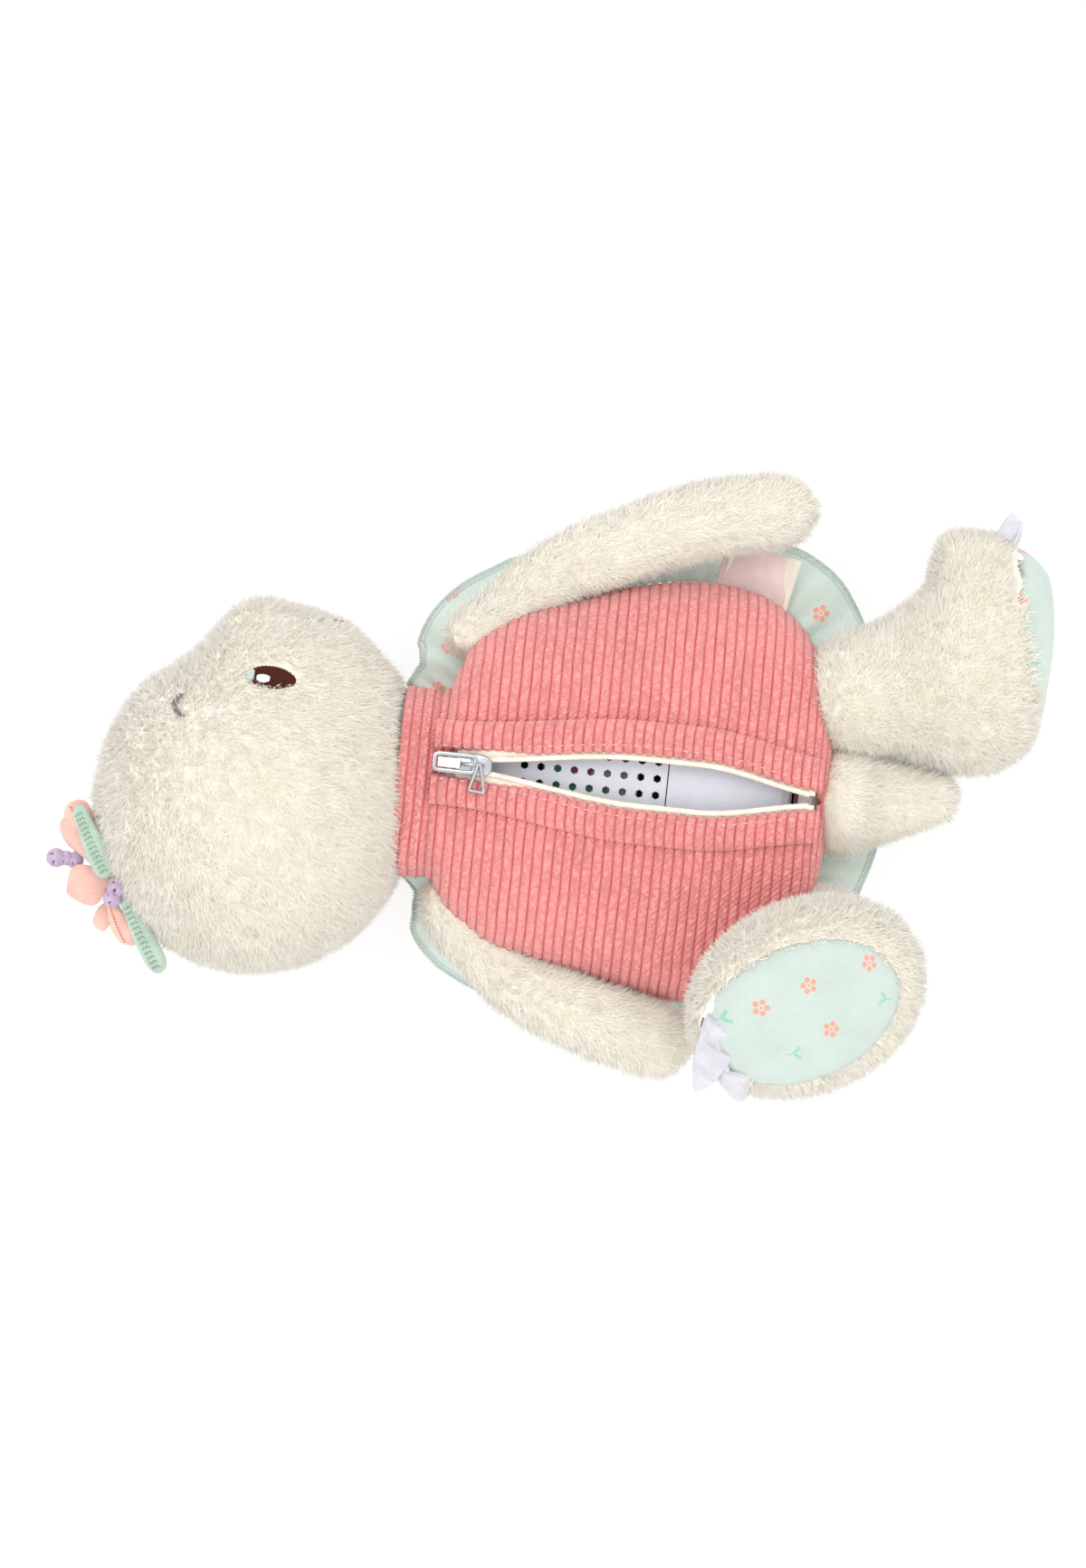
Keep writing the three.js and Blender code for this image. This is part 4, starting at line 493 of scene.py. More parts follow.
def mesh_object(name, points, faces, material, uv=None, smooth=True):
    mesh = bpy.data.meshes.new(name)
    places = (np.asarray(points, float) * MM).tolist()
    mesh.from_pydata(places, [], [list(map(int, face)) for face in faces])
    mesh.polygons.foreach_set("use_smooth", [smooth] * len(mesh.polygons))
    if uv is not None:
        corners = np.zeros(len(mesh.loops), int)
        mesh.loops.foreach_get("vertex_index", corners)
        layer = mesh.uv_layers.new(name="Cloth")
        layer.data.foreach_set("uv", (np.asarray(uv, float)[corners] * MM).ravel())
    mesh.update()
    mesh.materials.append(material)
    return in_scene(name, mesh)


def grid_faces(rows, columns, around=False):
    """Quads over points stored row by row; around joins the last column to the first."""
    faces = []
    for i in range(rows - 1):
        for j in range(columns if around else columns - 1):
            a = i * columns + j
            b = i * columns + (j + 1) % columns
            faces.append((a, b, b + columns, a + columns))
    return faces


def ring_faces(rows, columns):
    """Grid of closed rings with a flat face over each end."""
    last = (rows - 1) * columns
    return grid_faces(rows, columns, True) + [
        tuple(range(columns - 1, -1, -1)), tuple(range(last, last + columns))]


def outward(obj, merge=0.001):
    """Joins points that meet and turns the faces of a closed mesh outwards."""
    bm = bmesh.new()
    bm.from_mesh(obj.data)
    bmesh.ops.remove_doubles(bm, verts=bm.verts, dist=merge * MM)
    bmesh.ops.recalc_face_normals(bm, faces=bm.faces)
    bm.to_mesh(obj.data)
    bm.free()
    return obj


def baked(obj):
    """The same object as a plain mesh, with its modifiers worked in."""
    bpy.context.view_layer.update()
    graph = bpy.context.evaluated_depsgraph_get()
    mesh = bpy.data.meshes.new_from_object(
        obj.evaluated_get(graph), preserve_all_data_layers=True, depsgraph=graph)
    obj.modifiers.clear()
    old, obj.data = obj.data, mesh
    bpy.data.meshes.remove(old)
    mesh.name = obj.name
    return obj


def walled(obj, thickness, offset):
    """Gives a cloth its thickness: offset -1 lays it under the surface, and 0 to both sides."""
    wall = obj.modifiers.new("Wall", "SOLIDIFY")
    wall.thickness = thickness * MM
    wall.offset = offset
    return baked(obj)


def bevelled(obj, width, segments):
    edge = obj.modifiers.new("Edge", "BEVEL")
    edge.width = width * MM
    edge.segments = segments
    edge.limit_method = "ANGLE"
    return baked(obj)


def refinished(obj, material):
    """Puts one material in place of an object's own."""
    obj.data.materials.clear()
    obj.data.materials.append(material)


def joined(name, objs):
    """One object from several, keeping their materials."""
    first = objs[0]
    with bpy.context.temp_override(
            active_object=first, selected_editable_objects=objs, selected_objects=objs):
        bpy.ops.object.join()
    first.name = name
    first.data.name = name
    return first


def points_of(obj):
    flat = np.zeros(3 * len(obj.data.vertices))
    obj.data.vertices.foreach_get("co", flat)
    return flat.reshape(-1, 3) / MM


def normals_of(obj):
    flat = np.zeros(3 * len(obj.data.vertices))
    obj.data.vertex_normals.foreach_get("vector", flat)
    return flat.reshape(-1, 3)


def move_points(obj, points):
    obj.data.vertices.foreach_set("co", (np.asarray(points) * MM).ravel())
    obj.data.update()


def speckle(points, wavelength, seed=0.0):
    """Smooth noise from about -1 to 1 at each point."""
    shift = Vector((seed, seed, seed))
    return np.array([noise.noise(Vector(point) / wavelength + shift) for point in points])


def to_unit(vectors):
    """Rows of vectors, each made one unit long."""
    return vectors / np.linalg.norm(vectors, axis=1)[:, None]


def set_attribute(obj, name, values):
    layer = obj.data.attributes.get(name) or obj.data.attributes.new(name, "FLOAT", "POINT")
    layer.data.foreach_set("value", np.asarray(values, np.float32))


def smoothstep(value):
    t = np.clip(value, 0, 1)
    return t * t * (3 - 2 * t)


def box(node):
    """Lowest and highest corner of a frame node, in millimetres."""
    low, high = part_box(node)
    return np.array(low) / MM, np.array(high) / MM


def middle(node):
    low, high = box(node)
    return (low + high) / 2


class Ground:
    """Form that stitches and trims lie on. It is asked and answers in millimetres."""

    def __init__(self, obj):
        faces = [face.vertices[:] for face in obj.data.polygons]
        self.tree = BVHTree.FromPolygons(points_of(obj).tolist(), faces)

    def under(self, point, towards):
        """Place and normal where a ray first meets the form."""
        place, normal, _, _ = self.tree.ray_cast(Vector(point), Vector(towards).normalized())
        if place is None:
            raise RuntimeError(f"nothing lies under {tuple(point)}")
        return np.array(place), np.array(normal)

    def nearest(self, point):
        place, normal, _, _ = self.tree.find_nearest(Vector(point))
        return np.array(place), np.array(normal)

    def onto(self, point, towards, reach):
        """Place under a point that lies at a distance over the form, or else the nearest place."""
        place, _, _, _ = self.tree.ray_cast(Vector(point), Vector(towards).normalized())
        if place is None:
            return self.nearest(np.array(point) + np.array(towards) * reach)[0]
        return np.array(place)


def soft_copy(name, node, material, voxel, rounds, swell=0.0):
    """Smooth skin drawn over the frame's form of a node, and swollen or drawn in."""
    bm = bmesh.new()
    bm.from_mesh(frame["nodes"][node].data)
    bmesh.ops.remove_doubles(bm, verts=bm.verts, dist=0.01 * MM)
    mesh = bpy.data.meshes.new(name)
    bm.to_mesh(mesh)
    bm.free()
    obj = in_scene(name, mesh)
    remesh = obj.modifiers.new("Skin", "REMESH")
    remesh.mode = "VOXEL"
    remesh.voxel_size = voxel * MM
    smooth = obj.modifiers.new("Ease", "SMOOTH")
    smooth.factor = 0.5
    smooth.iterations = rounds
    baked(obj)
    refinished(obj, material)
    obj.data.polygons.foreach_set("use_smooth", [True] * len(obj.data.polygons))
    if swell:
        move_points(obj, points_of(obj) + normals_of(obj) * swell)
    return obj


def pushed(points, place, reach, push, depth=1, share=1):
    """Moves the points near a place, seen from over the toy, and the nearest ones the furthest."""
    away = ((points[:, :2] - np.array(place)) ** 2).sum(axis=1)
    size = depth * np.exp(-away / reach ** 2) * share
    return points + size[:, None] * np.array([*push, 0])


def tubes(name, paths, radius, material, sides=6, taper=True):
    """Round threads along lists of points, closed at both ends."""
    points = []
    faces = []
    for path in paths:
        path = np.asarray(path, float)
        tangents = to_unit(np.gradient(path, axis=0))
        up = np.array([0.1, 0.2, 1.0]) if abs(tangents[0][2]) < 0.9 else np.array([1.0, 0.2, 0.1])
        start = len(points)
        for i, (point, tangent) in enumerate(zip(path, tangents)):
            side = np.cross(tangent, up)
            side /= np.linalg.norm(side)
            over = np.cross(side, tangent)
            end = taper and i in (0, len(path) - 1)
            size = radius * (0.45 if end else 1)
            for k in range(sides):
                turn = 2 * math.pi * k / sides
                points.append(point + size * (math.cos(turn) * side + math.sin(turn) * over))
        faces += [tuple(start + v for v in face) for face in ring_faces(len(path), sides)]
    return outward(mesh_object(name, points, faces, material), 0.0001)


def felt_blade(name, root, tip, width, facing, share, material, thick, arch):
    """Padded felt shape from its root to its tip."""
    root, tip = np.array(root), np.array(tip)
    along = tip - root
    facing = square_to(unit_vector(*along), np.array(facing, float))
    across = np.cross(facing, unit_vector(*along))
    rows, sides = 30, 24
    points = []
    for i in range(rows):
        s = i / (rows - 1)
        half = max(width / 2 * share(s), 0.08)
        for k in range(sides):
            turn = 2 * math.pi * k / sides
            v, w = (power_share(f(turn), 2.5) for f in (math.cos, math.sin))
            fuzz = 0.14 * noise.noise(Vector((s * 9, v * 3, w + len(name))))
            bow = arch * (math.sin(math.pi * s) - v * v * half / 3)
            lift = thick / 2 * w * min(1, 1.4 * half / thick) + bow
            points.append(root + along * s + across * (half * v) + facing * (lift + fuzz))
    return outward(mesh_object(name, points, ring_faces(rows, sides), material), 0.0001)


# Geometry node trees

def random_float(tree, low, high, seed):
    sockets = {"Min": low, "Max": high, "Seed": seed}
    return wire(tree, "FunctionNodeRandomValue", sockets, data_type="FLOAT").outputs[1]


def spun(tree, rotation, turn):
    """Rotation turned about its own Z."""
    about = wire(tree, "ShaderNodeCombineXYZ", {"Z": turn}).outputs[0]
    sockets = {"Rotation": rotation, "Rotate By": about}
    return wire(tree, "FunctionNodeRotateRotation", sockets, rotation_space="LOCAL").outputs[0]


def finished(tree, copies, material):
    """Copies made real, with smooth shading and their material."""
    real = wire(tree, "GeometryNodeRealizeInstances", {0: copies})
    soft = wire(tree, "GeometryNodeSetShadeSmooth", {0: real.outputs[0]})
    coated = wire(tree, "GeometryNodeSetMaterial", {"Geometry": soft.outputs[0], "Material": material})
    return {"Geometry": coated.outputs[0]}


def pile_tree():
    """Curved strands on a surface, which gather into curls."""
    def fill(tree, given):
        grown = wire(tree, "GeometryNodeInputNamedAttribute", {"Name": "growth"}, data_type="FLOAT")
        dense = times(tree, given["Density"], grown.outputs[0])
        spots = wire(tree, "GeometryNodeDistributePointsOnFaces", {
            "Mesh": given["Geometry"], "Density": dense, "Seed": given["Seed"]}, distribute_method="RANDOM")
        place = wire(tree, "GeometryNodeInputPosition").outputs[0]
        swirl = wire(tree, "ShaderNodeTexNoise", {
            "Vector": place, "Scale": calc(tree, "DIVIDE", 1.0, given["Clump"]), "Detail": 2.0})
        swirled = vector_calc(tree, "SUBTRACT", swirl.outputs[1], (0.5, 0.5, 0.5))
        lean = vector_calc(tree, "SCALE", swirled, times(tree, given["Lean"], 4.0))
        stray = wire(tree, "FunctionNodeRandomValue", {
            "Min": (-0.35, -0.35, -0.35), "Max": (0.35, 0.35, 0.35), "Seed": given["Seed"]},
            data_type="FLOAT_VECTOR")
        combed = vector_calc(tree, "ADD", lean, given["Comb"])
        upright = vector_calc(tree, "ADD", spots.outputs["Normal"], combed)
        aim = vector_calc(tree, "ADD", upright, stray.outputs[0])
        turned = wire(tree, "FunctionNodeAlignRotationToVector", {"Vector": aim}, axis="Z").outputs[0]
        cone = wire(tree, "GeometryNodeMeshCone", {
            "Vertices": 3, "Side Segments": given["Segments"], "Radius Top": 0.0,
            "Radius Bottom": times(tree, given["Width"], 0.5), "Depth": given["Length"]}, fill_type="NONE")
        rise = calc(tree, "DIVIDE", axes_of(tree, place)[2], given["Length"])
        bend = times(tree, times(tree, rise, rise), times(tree, given["Length"], given["Curl"]))
        aside = wire(tree, "ShaderNodeCombineXYZ", {"X": bend}).outputs[0]
        bent = wire(tree, "GeometryNodeSetPosition", {"Geometry": cone.outputs["Mesh"], "Offset": aside})
        strands = wire(tree, "GeometryNodeInstanceOnPoints", {
            "Points": spots.outputs["Points"], "Instance": bent.outputs[0],
            "Rotation": spun(tree, turned, random_float(tree, 0.0, 6.28, 7)),
            "Scale": random_float(tree, 0.65, 1.3, 3)})
        toned = wire(tree, "GeometryNodeStoreNamedAttribute", {
            "Geometry": strands.outputs[0], "Name": "tone", "Value": random_float(tree, 0.0, 1.0, 11)},
            data_type="FLOAT", domain="INSTANCE")
        rooted = wire(tree, "GeometryNodeStoreNamedAttribute", {
            "Geometry": toned.outputs[0], "Name": "skin_normal", "Value": spots.outputs["Normal"]},
            data_type="FLOAT_VECTOR", domain="INSTANCE")
        return finished(tree, rooted.outputs[0], given["Material"])
    return shared_group("Pile", "GeometryNodeTree", {
        "Geometry": (GEOMETRY, None), "Density": (FLOAT, 2e6), "Length": (FLOAT, 0.0026),
        "Comb": ("NodeSocketVector", None), "Width": (FLOAT, 0.0004), "Lean": (FLOAT, 1.0),
        "Curl": (FLOAT, 0.3), "Clump": (FLOAT, 0.004), "Segments": (INTEGER, 1), "Seed": (INTEGER, 1),
        "Material": (MATERIAL, None)}, {"Geometry": GEOMETRY}, fill)


def row_tree():
    """Small rounded stitches or teeth at even steps along lines."""
    def fill(tree, given):
        line = wire(tree, "GeometryNodeMeshToCurve", {"Mesh": given["Geometry"]})
        even = wire(tree, "GeometryNodeResampleCurve", {
            "Curve": line.outputs[0], "Length": given["Spacing"]}, mode="LENGTH")
        along = wire(tree, "GeometryNodeInputTangent").outputs[0]
        flat = wire(tree, "FunctionNodeAlignRotationToVector", {"Vector": along}, axis="X")
        level = wire(tree, "FunctionNodeAlignRotationToVector", {
            "Rotation": flat.outputs[0], "Vector": (0.0, 0.0, 1.0)}, axis="Z", pivot_axis="X")
        turn = plus(tree, given["Turn"], random_float(tree, -0.1, 0.1, given["Seed"]))
        bead = wire(tree, "GeometryNodeMeshUVSphere", {"Segments": 8, "Rings": 5, "Radius": 0.5})
        size = wire(tree, "ShaderNodeCombineXYZ", {
            "X": given["Length"], "Y": given["Width"], "Z": given["Height"]})
        copies = wire(tree, "GeometryNodeInstanceOnPoints", {
            "Points": even.outputs[0], "Instance": bead.outputs["Mesh"],
            "Rotation": spun(tree, level.outputs[0], turn), "Scale": size.outputs[0]})
        return finished(tree, copies.outputs[0], given["Material"])
    return shared_group("Stitch row", "GeometryNodeTree", {
        "Geometry": (GEOMETRY, None), "Spacing": (FLOAT, 0.003), "Length": (FLOAT, 0.002),
        "Width": (FLOAT, 0.0005), "Height": (FLOAT, 0.0004), "Turn": (FLOAT, 0.0), "Seed": (INTEGER, 1),
        "Material": (MATERIAL, None)}, {"Geometry": GEOMETRY}, fill)


def grow(obj, tree, **values):
    """Runs a node tree on an object and keeps the result as a plain mesh."""
    modifier = obj.modifiers.new(tree.name, "NODES")
    modifier.node_group = tree
    inputs = [item for item in tree.interface.items_tree if item.in_out == "INPUT"]
    names = {item.name: item.identifier for item in inputs}
    for name, value in values.items():
        modifier[names[name]] = value
    return baked(obj)


def pile_on(name, skin, material, seed, comb, density_share=1.0):
    """Strands on a skin, as a piece of their own, brushed one way. The skin's growth attribute thins them.

    They are lit mostly as their skin is, so that the pile looks soft and even.
    """
    plush = settings("plush")
    obj = in_scene(name, skin.data.copy())
    grow(obj, pile_tree(), Density=plush.density * density_share / MM ** 2, Length=plush.pile_length,
         Width=plush.strand_width, Lean=plush.lean, Curl=0.35, Clump=plush.clump, Comb=tuple(comb),
         Segments=1, Seed=seed, Material=material)
    layer = obj.data.attributes["skin_normal"]
    flat = np.zeros(3 * len(obj.data.vertices))
    layer.data.foreach_get("vector", flat)
    shading = to_unit(flat.reshape(-1, 3) + 0.25 * normals_of(obj))
    obj.data.attributes.remove(layer)
    obj.data.normals_split_custom_set_from_vertices(shading.tolist())
    return obj


def stitch_rows(name, paths, material, spacing, size, turn=0.0, seed=1):
    """Stitches along lists of points, all in one piece."""
    mesh = bpy.data.meshes.new(name)
    points = [tuple(np.asarray(point) * MM) for path in paths for point in path]
    edges = []
    start = 0
    for path in paths:
        edges += [(start + i, start + i + 1) for i in range(len(path) - 1)]
        start += len(path)
    mesh.from_pydata(points, edges, [])
    length_, width, height = (side * MM for side in size)
    return grow(in_scene(name, mesh), row_tree(), Spacing=spacing * MM, Length=length_, Width=width,
                Height=height, Turn=turn, Seed=seed, Material=material)


# Form of the trunk, the same rule that the frame's shell and belly follow

SHELL_LOW, SHELL_HIGH = box("shell_cover")
TRUNK_FRONT = SHELL_LOW[0]
TRUNK_LENGTH = SHELL_HIGH[0] - SHELL_LOW[0]
TRUNK_WIDTH = 118
TRUNK_HEIGHT = 66
SEAM_HEIGHT = 36
BELLY_ROUNDNESS = 3.0
SHELL_ROUNDNESS = 2.3
# Each station: place along the trunk, half width as a share of the width, middle in millimetres,
# and top and bottom as shares of the height
STATIONS = np.array([
    [0, 0.466, -6.5, 1, 0.333],
    [0.05, 0.66, -3.6, 1, 0.17],
    [0.147, 0.79, -3, 1, 0.05],
    [0.285, 0.87, -2, 1, 0],
    [0.44, 0.95, -1, 1, 0],
    [0.6, 1, -1, 1, 0],
    [0.745, 0.98, -1, 1, 0],
    [0.855, 0.88, -1, 1, 0.03],
    [0.925, 0.71, 0, 0.985, 0.12],
    [0.972, 0.46, 0, 0.91, 0.26],
    [0.995, 0.22, 0, 0.78, 0.4],
    [1, 0.02, 0, 0.6, 0.5],
])


def through_stations(t):
    """Smooth curve through the stations, for t from 0 to 1."""
    ends = np.vstack([2 * STATIONS[0] - STATIONS[1], STATIONS, 2 * STATIONS[-1] - STATIONS[-2]])
    spans = len(STATIONS) - 1
    place = np.clip(np.asarray(t, float) * spans, 0, spans - 1e-9)
    i = place.astype(int)
    w = (place - i)[..., None]
    a, b, c, d = (ends[i + k] for k in range(4))
    return b + 0.5 * w * (c - a + w * (2 * a - 5 * b + 4 * c - d + w * (3 * (b - c) + d - a)))


def power_share(value, power):
    return np.sign(value) * np.abs(value) ** (2 / power)


def trunk_ring(t, angles):
    """Points of the trunk's section at t; angle 0 is the left seam and a quarter turn the top."""
    place, half, centre, top, bottom = through_stations(t)
    reach = half * TRUNK_WIDTH / 2
    upper = np.sin(angles) >= 0
    power = np.where(upper, BELLY_ROUNDNESS, SHELL_ROUNDNESS)
    rise = top * TRUNK_HEIGHT - SEAM_HEIGHT
    fall = max(SEAM_HEIGHT - max(bottom, 0) * TRUNK_HEIGHT, 2)
    x = np.full_like(angles, TRUNK_FRONT + TRUNK_LENGTH * place)
    y = centre + reach * power_share(np.cos(angles), power)
    z = SEAM_HEIGHT + np.where(upper, rise, fall) * power_share(np.sin(angles), power)
    return np.stack([x, y, np.maximum(z, 0.4)], axis=1)


def top_line():
    """Middle line of the belly as (t, x, z, length of cloth so far)."""
    t = np.linspace(0, 1, 3000)
    stations = through_stations(t)
    x = TRUNK_FRONT + TRUNK_LENGTH * stations[:, 0]
    z = stations[:, 3] * TRUNK_HEIGHT
    run = np.concatenate([[0], np.cumsum(np.hypot(np.diff(x), np.diff(z)))])
    return t, x, z, run


TOP_T, TOP_X, TOP_Z, TOP_RUN = top_line()


def belly_height(x):
    return np.interp(x, TOP_X, TOP_Z)


# Lips of the zip
LIP_START = -52
LIP_FULL = 2
LIP_EASE = 18
LIP_SHUT = 54
ZIP_OPENING = 5.3
COIL_APART = 0.35
COIL_WIDTH = 1.8
ZIP_START = -46
ZIP_END = 50


def lip_edge(x):
    """Half the opening of the zip at x."""
    x = np.asarray(x, float)
    rise = smoothstep((x - LIP_START) / (LIP_FULL - LIP_START))
    fall = 1 - smoothstep((x - LIP_EASE) / (LIP_SHUT - LIP_EASE))
    return COIL_APART + ZIP_OPENING * np.where(x < (LIP_FULL + LIP_EASE) / 2, rise, fall)


def rib_share(run, pitch):
    """Height of the ribs, from 0 in a groove to 1 on top, at a length of cloth."""
    along = (run / pitch) % 1
    return np.maximum(1 - np.abs(2 * along - 1) ** 2.6, 0) ** 0.85


def run_along(points):
    """Length of a line of points up to each of them."""
    return np.concatenate([[0], np.cumsum(np.linalg.norm(np.diff(points, axis=0), axis=1))])


def sheet_normals(grid):
    normal = np.cross(np.gradient(grid, axis=0), np.gradient(grid, axis=1))
    return normal / np.maximum(np.linalg.norm(normal, axis=2), 1e-9)[..., None]


def facing_along(obj, normal):
    """Flips a sheet's faces where they look against the given normals."""
    if (normals_of(obj) * normal.reshape(-1, 3)).sum() < 0:
        obj.data.flip_normals()


def corduroy_sheet(name, grid, run, material, skin=1.3, tuck=(0, 0, 0, 0), puff=0.5, seed=0.0):
    """Ribbed cloth over a grid of points, with its wall; run is each point's place across the ribs."""
    cord = settings("corduroy")
    rows, columns = grid.shape[:2]
    normal = sheet_normals(grid)
    centre = grid.reshape(-1, 3).mean(axis=0) - np.array([0, 0, 20])
    if (normal * (grid - centre)).sum() < 0:
        normal = -normal
    flat = grid.reshape(-1, 3)
    broad = speckle(flat, 17, seed).reshape(rows, columns)
    fine = speckle(flat, 0.95, seed + 5).reshape(rows, columns)
    ribs = rib_share(run + 0.25 * speckle(flat, 9, seed + 9).reshape(rows, columns), cord.pitch / MM)
    steps_down = np.linalg.norm(np.diff(grid, axis=0), axis=2)
    steps_over = np.linalg.norm(np.diff(grid, axis=1), axis=2)
    down = np.concatenate([np.zeros((1, columns)), np.cumsum(steps_down, axis=0)])
    over = np.concatenate([np.zeros((rows, 1)), np.cumsum(steps_over, axis=1)], axis=1)
    edges = (down, down[-1] - down, over, over[:, -1:] - over)
    pull = sum(amount * np.exp(-(edge / 2.2) ** 2) for amount, edge in zip(tuck, edges))
    height = cord.height / MM * (ribs + 0.3 * fine - 0.6) + puff * broad - pull
    points = grid + normal * height[..., None]
    obj = mesh_object(name, points.reshape(-1, 3), grid_faces(rows, columns), material)
    # The groove attribute marks where the material paints shade, between the ribs
    set_attribute(obj, "groove", (1 - ribs).ravel())
    facing_along(obj, normal)
    return walled(obj, skin, -1)


def ridge_rows(step):
    """Values of t at even steps of cloth along the middle of the belly."""
    count = int(TOP_RUN[-1] / step)
    run = np.linspace(0, TOP_RUN[-1], count + 1)
    return run, np.interp(run, TOP_RUN, TOP_T)


def in_trunk(points, share=0.93):
    """True where a point lies well inside the trunk."""
    t = np.interp(points[:, 0], TOP_X, TOP_T)
    stations = through_stations(t)
    reach = np.maximum(stations[:, 1] * TRUNK_WIDTH / 2, 1)
    rise = np.maximum(stations[:, 3] * TRUNK_HEIGHT - SEAM_HEIGHT, 1)
    fall = np.maximum(SEAM_HEIGHT - stations[:, 4] * TRUNK_HEIGHT, 1)
    over = points[:, 2] >= SEAM_HEIGHT
    level = np.abs(points[:, 2] - SEAM_HEIGHT) / np.where(over, rise, fall)
    power = np.where(over, BELLY_ROUNDNESS, SHELL_ROUNDNESS)
    size = np.abs((points[:, 1] - stations[:, 2]) / reach) ** power + level ** power
    within = (points[:, 0] > TRUNK_FRONT) & (points[:, 0] < TRUNK_FRONT + TRUNK_LENGTH)
    return within & (size < share)


def bare_in_trunk(points, normals):
    """True where pile would lie inside the trunk."""
    return in_trunk(points)


def joint_place(name):
    """Where a joint of the record lies, in millimetres."""
    found = next(joint for joint in frame["record"]["behaviour"]["joints"] if joint["name"] == name)
    return np.array(found["pos_m"]) / MM


def corduroy():
    return bpy.data.materials.get("Corduroy") or corduroy_material("Corduroy")


def topstitch():
    made = bpy.data.materials.get("Pink topstitch")
    return made or thread_material("Pink topstitch", srgb(246, 196, 190))


# Operators

class TurtleOperator(bpy.types.Operator):
    bl_options = {"REGISTER"}

    def execute(self, context):
        self.make()
        return {"FINISHED"}


class TURTLE_OT_stage(TurtleOperator):
    """Makes the camera, the floor and the lamps"""
    bl_idname = "turtle.stage"
    bl_label = "Stage"

    # Place over which the camera hangs and its turn, so that the picture is framed as the photo is
    CAMERA_PLACE = (-0.0248, -0.0032)
    CAMERA_TURN = math.radians(6)
    # For each lamp: name, place, size and share of the key light's power
    LAMPS = (
        ("Key", (-0.45, 0.5, 1.6), 0.7, 1.0),
        ("Fill", (0.6, -0.7, 1.5), 1.0, 0.7),
    )

    def make(self):
        stage = settings("stage")
        self.camera(stage)
        self.floor(stage)
        self.light(stage)
        bpy.context.scene.view_settings.view_transform = "Standard"

    def camera(self, stage):
        belly_level = 0.06
        data = bpy.data.cameras.new("Camera")
        data.sensor_fit = "HORIZONTAL"
        data.lens = data.sensor_width * (stage.camera_height - belly_level) / stage.frame_width
        data.clip_end = 20
        camera = in_scene("Camera", data)
        camera.location = (*self.CAMERA_PLACE, stage.camera_height)
        camera.rotation_euler = (0, 0, self.CAMERA_TURN)
        bpy.context.scene.camera = camera

    def floor(self, stage):
        material, tree, shader = new_material("Floor", 0.95)
        grain = use(tree, fibre_group(), Clouds=3.0, Fibres=300.0)
        painted(tree, shader, mixed(tree, grain["Tone"], darker(stage.floor, 0.985), tuple(stage.floor)))
        glow = wire(tree, "ShaderNodeEmission", {"Color": (1, 1, 1, 1), "Strength": 1.0})
        path = wire(tree, "ShaderNodeLightPath").outputs
        seen = times(tree, calc(tree, "MAXIMUM", path["Is Camera Ray"], path["Is Glossy Ray"]), 0.8)
        both = wire(tree, "ShaderNodeMixShader", {0: seen, 1: shader.outputs[0], 2: glow.outputs[0]})
        tree.links.new(both.outputs[0], tree.nodes["Material Output"].inputs[0])
        reach = 4000
        corners = [(-reach, -reach, 0), (reach, -reach, 0), (reach, reach, 0), (-reach, reach, 0)]
        mesh_object("Floor", corners, [(0, 1, 2, 3)], material, smooth=False)

    def light(self, stage):
        world = bpy.data.worlds.new("Studio")
        world.use_nodes = True
        tree = world.node_tree
        soft = tree.nodes["Background"]
        soft.inputs["Color"].default_value = (1, 0.985, 0.965, 1)
        soft.inputs["Strength"].default_value = stage.sky
        plain = wire(tree, "ShaderNodeBackground", {"Color": (1, 1, 1, 1), "Strength": 1.0})
        path = wire(tree, "ShaderNodeLightPath").outputs
        bounced = calc(tree, "MAXIMUM", path["Is Glossy Ray"], path["Is Transmission Ray"])
        seen = calc(tree, "MAXIMUM", path["Is Camera Ray"], bounced)
        both = wire(tree, "ShaderNodeMixShader", {0: seen, 1: soft.outputs[0], 2: plain.outputs[0]})
        tree.links.new(both.outputs[0], tree.nodes["World Output"].inputs[0])
        bpy.context.scene.world = world
        for name, place, size, share in self.LAMPS:
            lamp = bpy.data.lights.new(name, "AREA")
            lamp.energy = stage.key * share
            lamp.size = size
            obj = in_scene(name, lamp)
            obj.location = place
            obj.rotation_euler = (-Vector(place)).to_track_quat("-Z", "Y").to_euler()


def plush_materials():
    """Skin and strands of the plush, made once."""
    if "Plush skin" not in bpy.data.materials:
        plush = settings("plush")
        cloth_material("Plush skin", tuple(plush.colour), tuple(plush.shade), clouds=140.0, fibres=900.0,
                       bump=0.8, sheen=0.3)
        pile_material("Plush pile", tuple(plush.colour), tuple(plush.shade))
    return bpy.data.materials["Plush skin"], bpy.data.materials["Plush pile"]


def plush_body(node, seed, bare, comb, shape, voxel=1.3, rounds=10, swell=0.0,
               density_share=1.0):
    """Skin and pile of one stuffed part, brushed along comb.

    shape(points) forms the skin, and no pile grows where bare(points, normals) is true.
    """
    skin_finish, pile_finish = plush_materials()
    skin = soft_copy(f"{node}_skin", node, skin_finish, voxel, rounds, swell)
    move_points(skin, shape(points_of(skin)))
    grounds[node] = Ground(skin)
    points = points_of(skin)
    normals = normals_of(skin)
    curls = 0.28 * speckle(points, 2.6, seed) + 0.35 * speckle(points, 6.5, seed + 3)
    open_skin = ~bare(points, normals)
    move_points(skin, points + normals * (curls * open_skin)[:, None])
    set_attribute(skin, "growth", open_skin * (0.3 + 0.7 * smoothstep((normals[:, 2] + 0.5) / 0.4)))
    pile = pile_on(f"{node}_pile", skin, pile_finish, seed, comb, density_share)
    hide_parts(node)
    for piece in (skin, pile):
        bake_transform(piece)


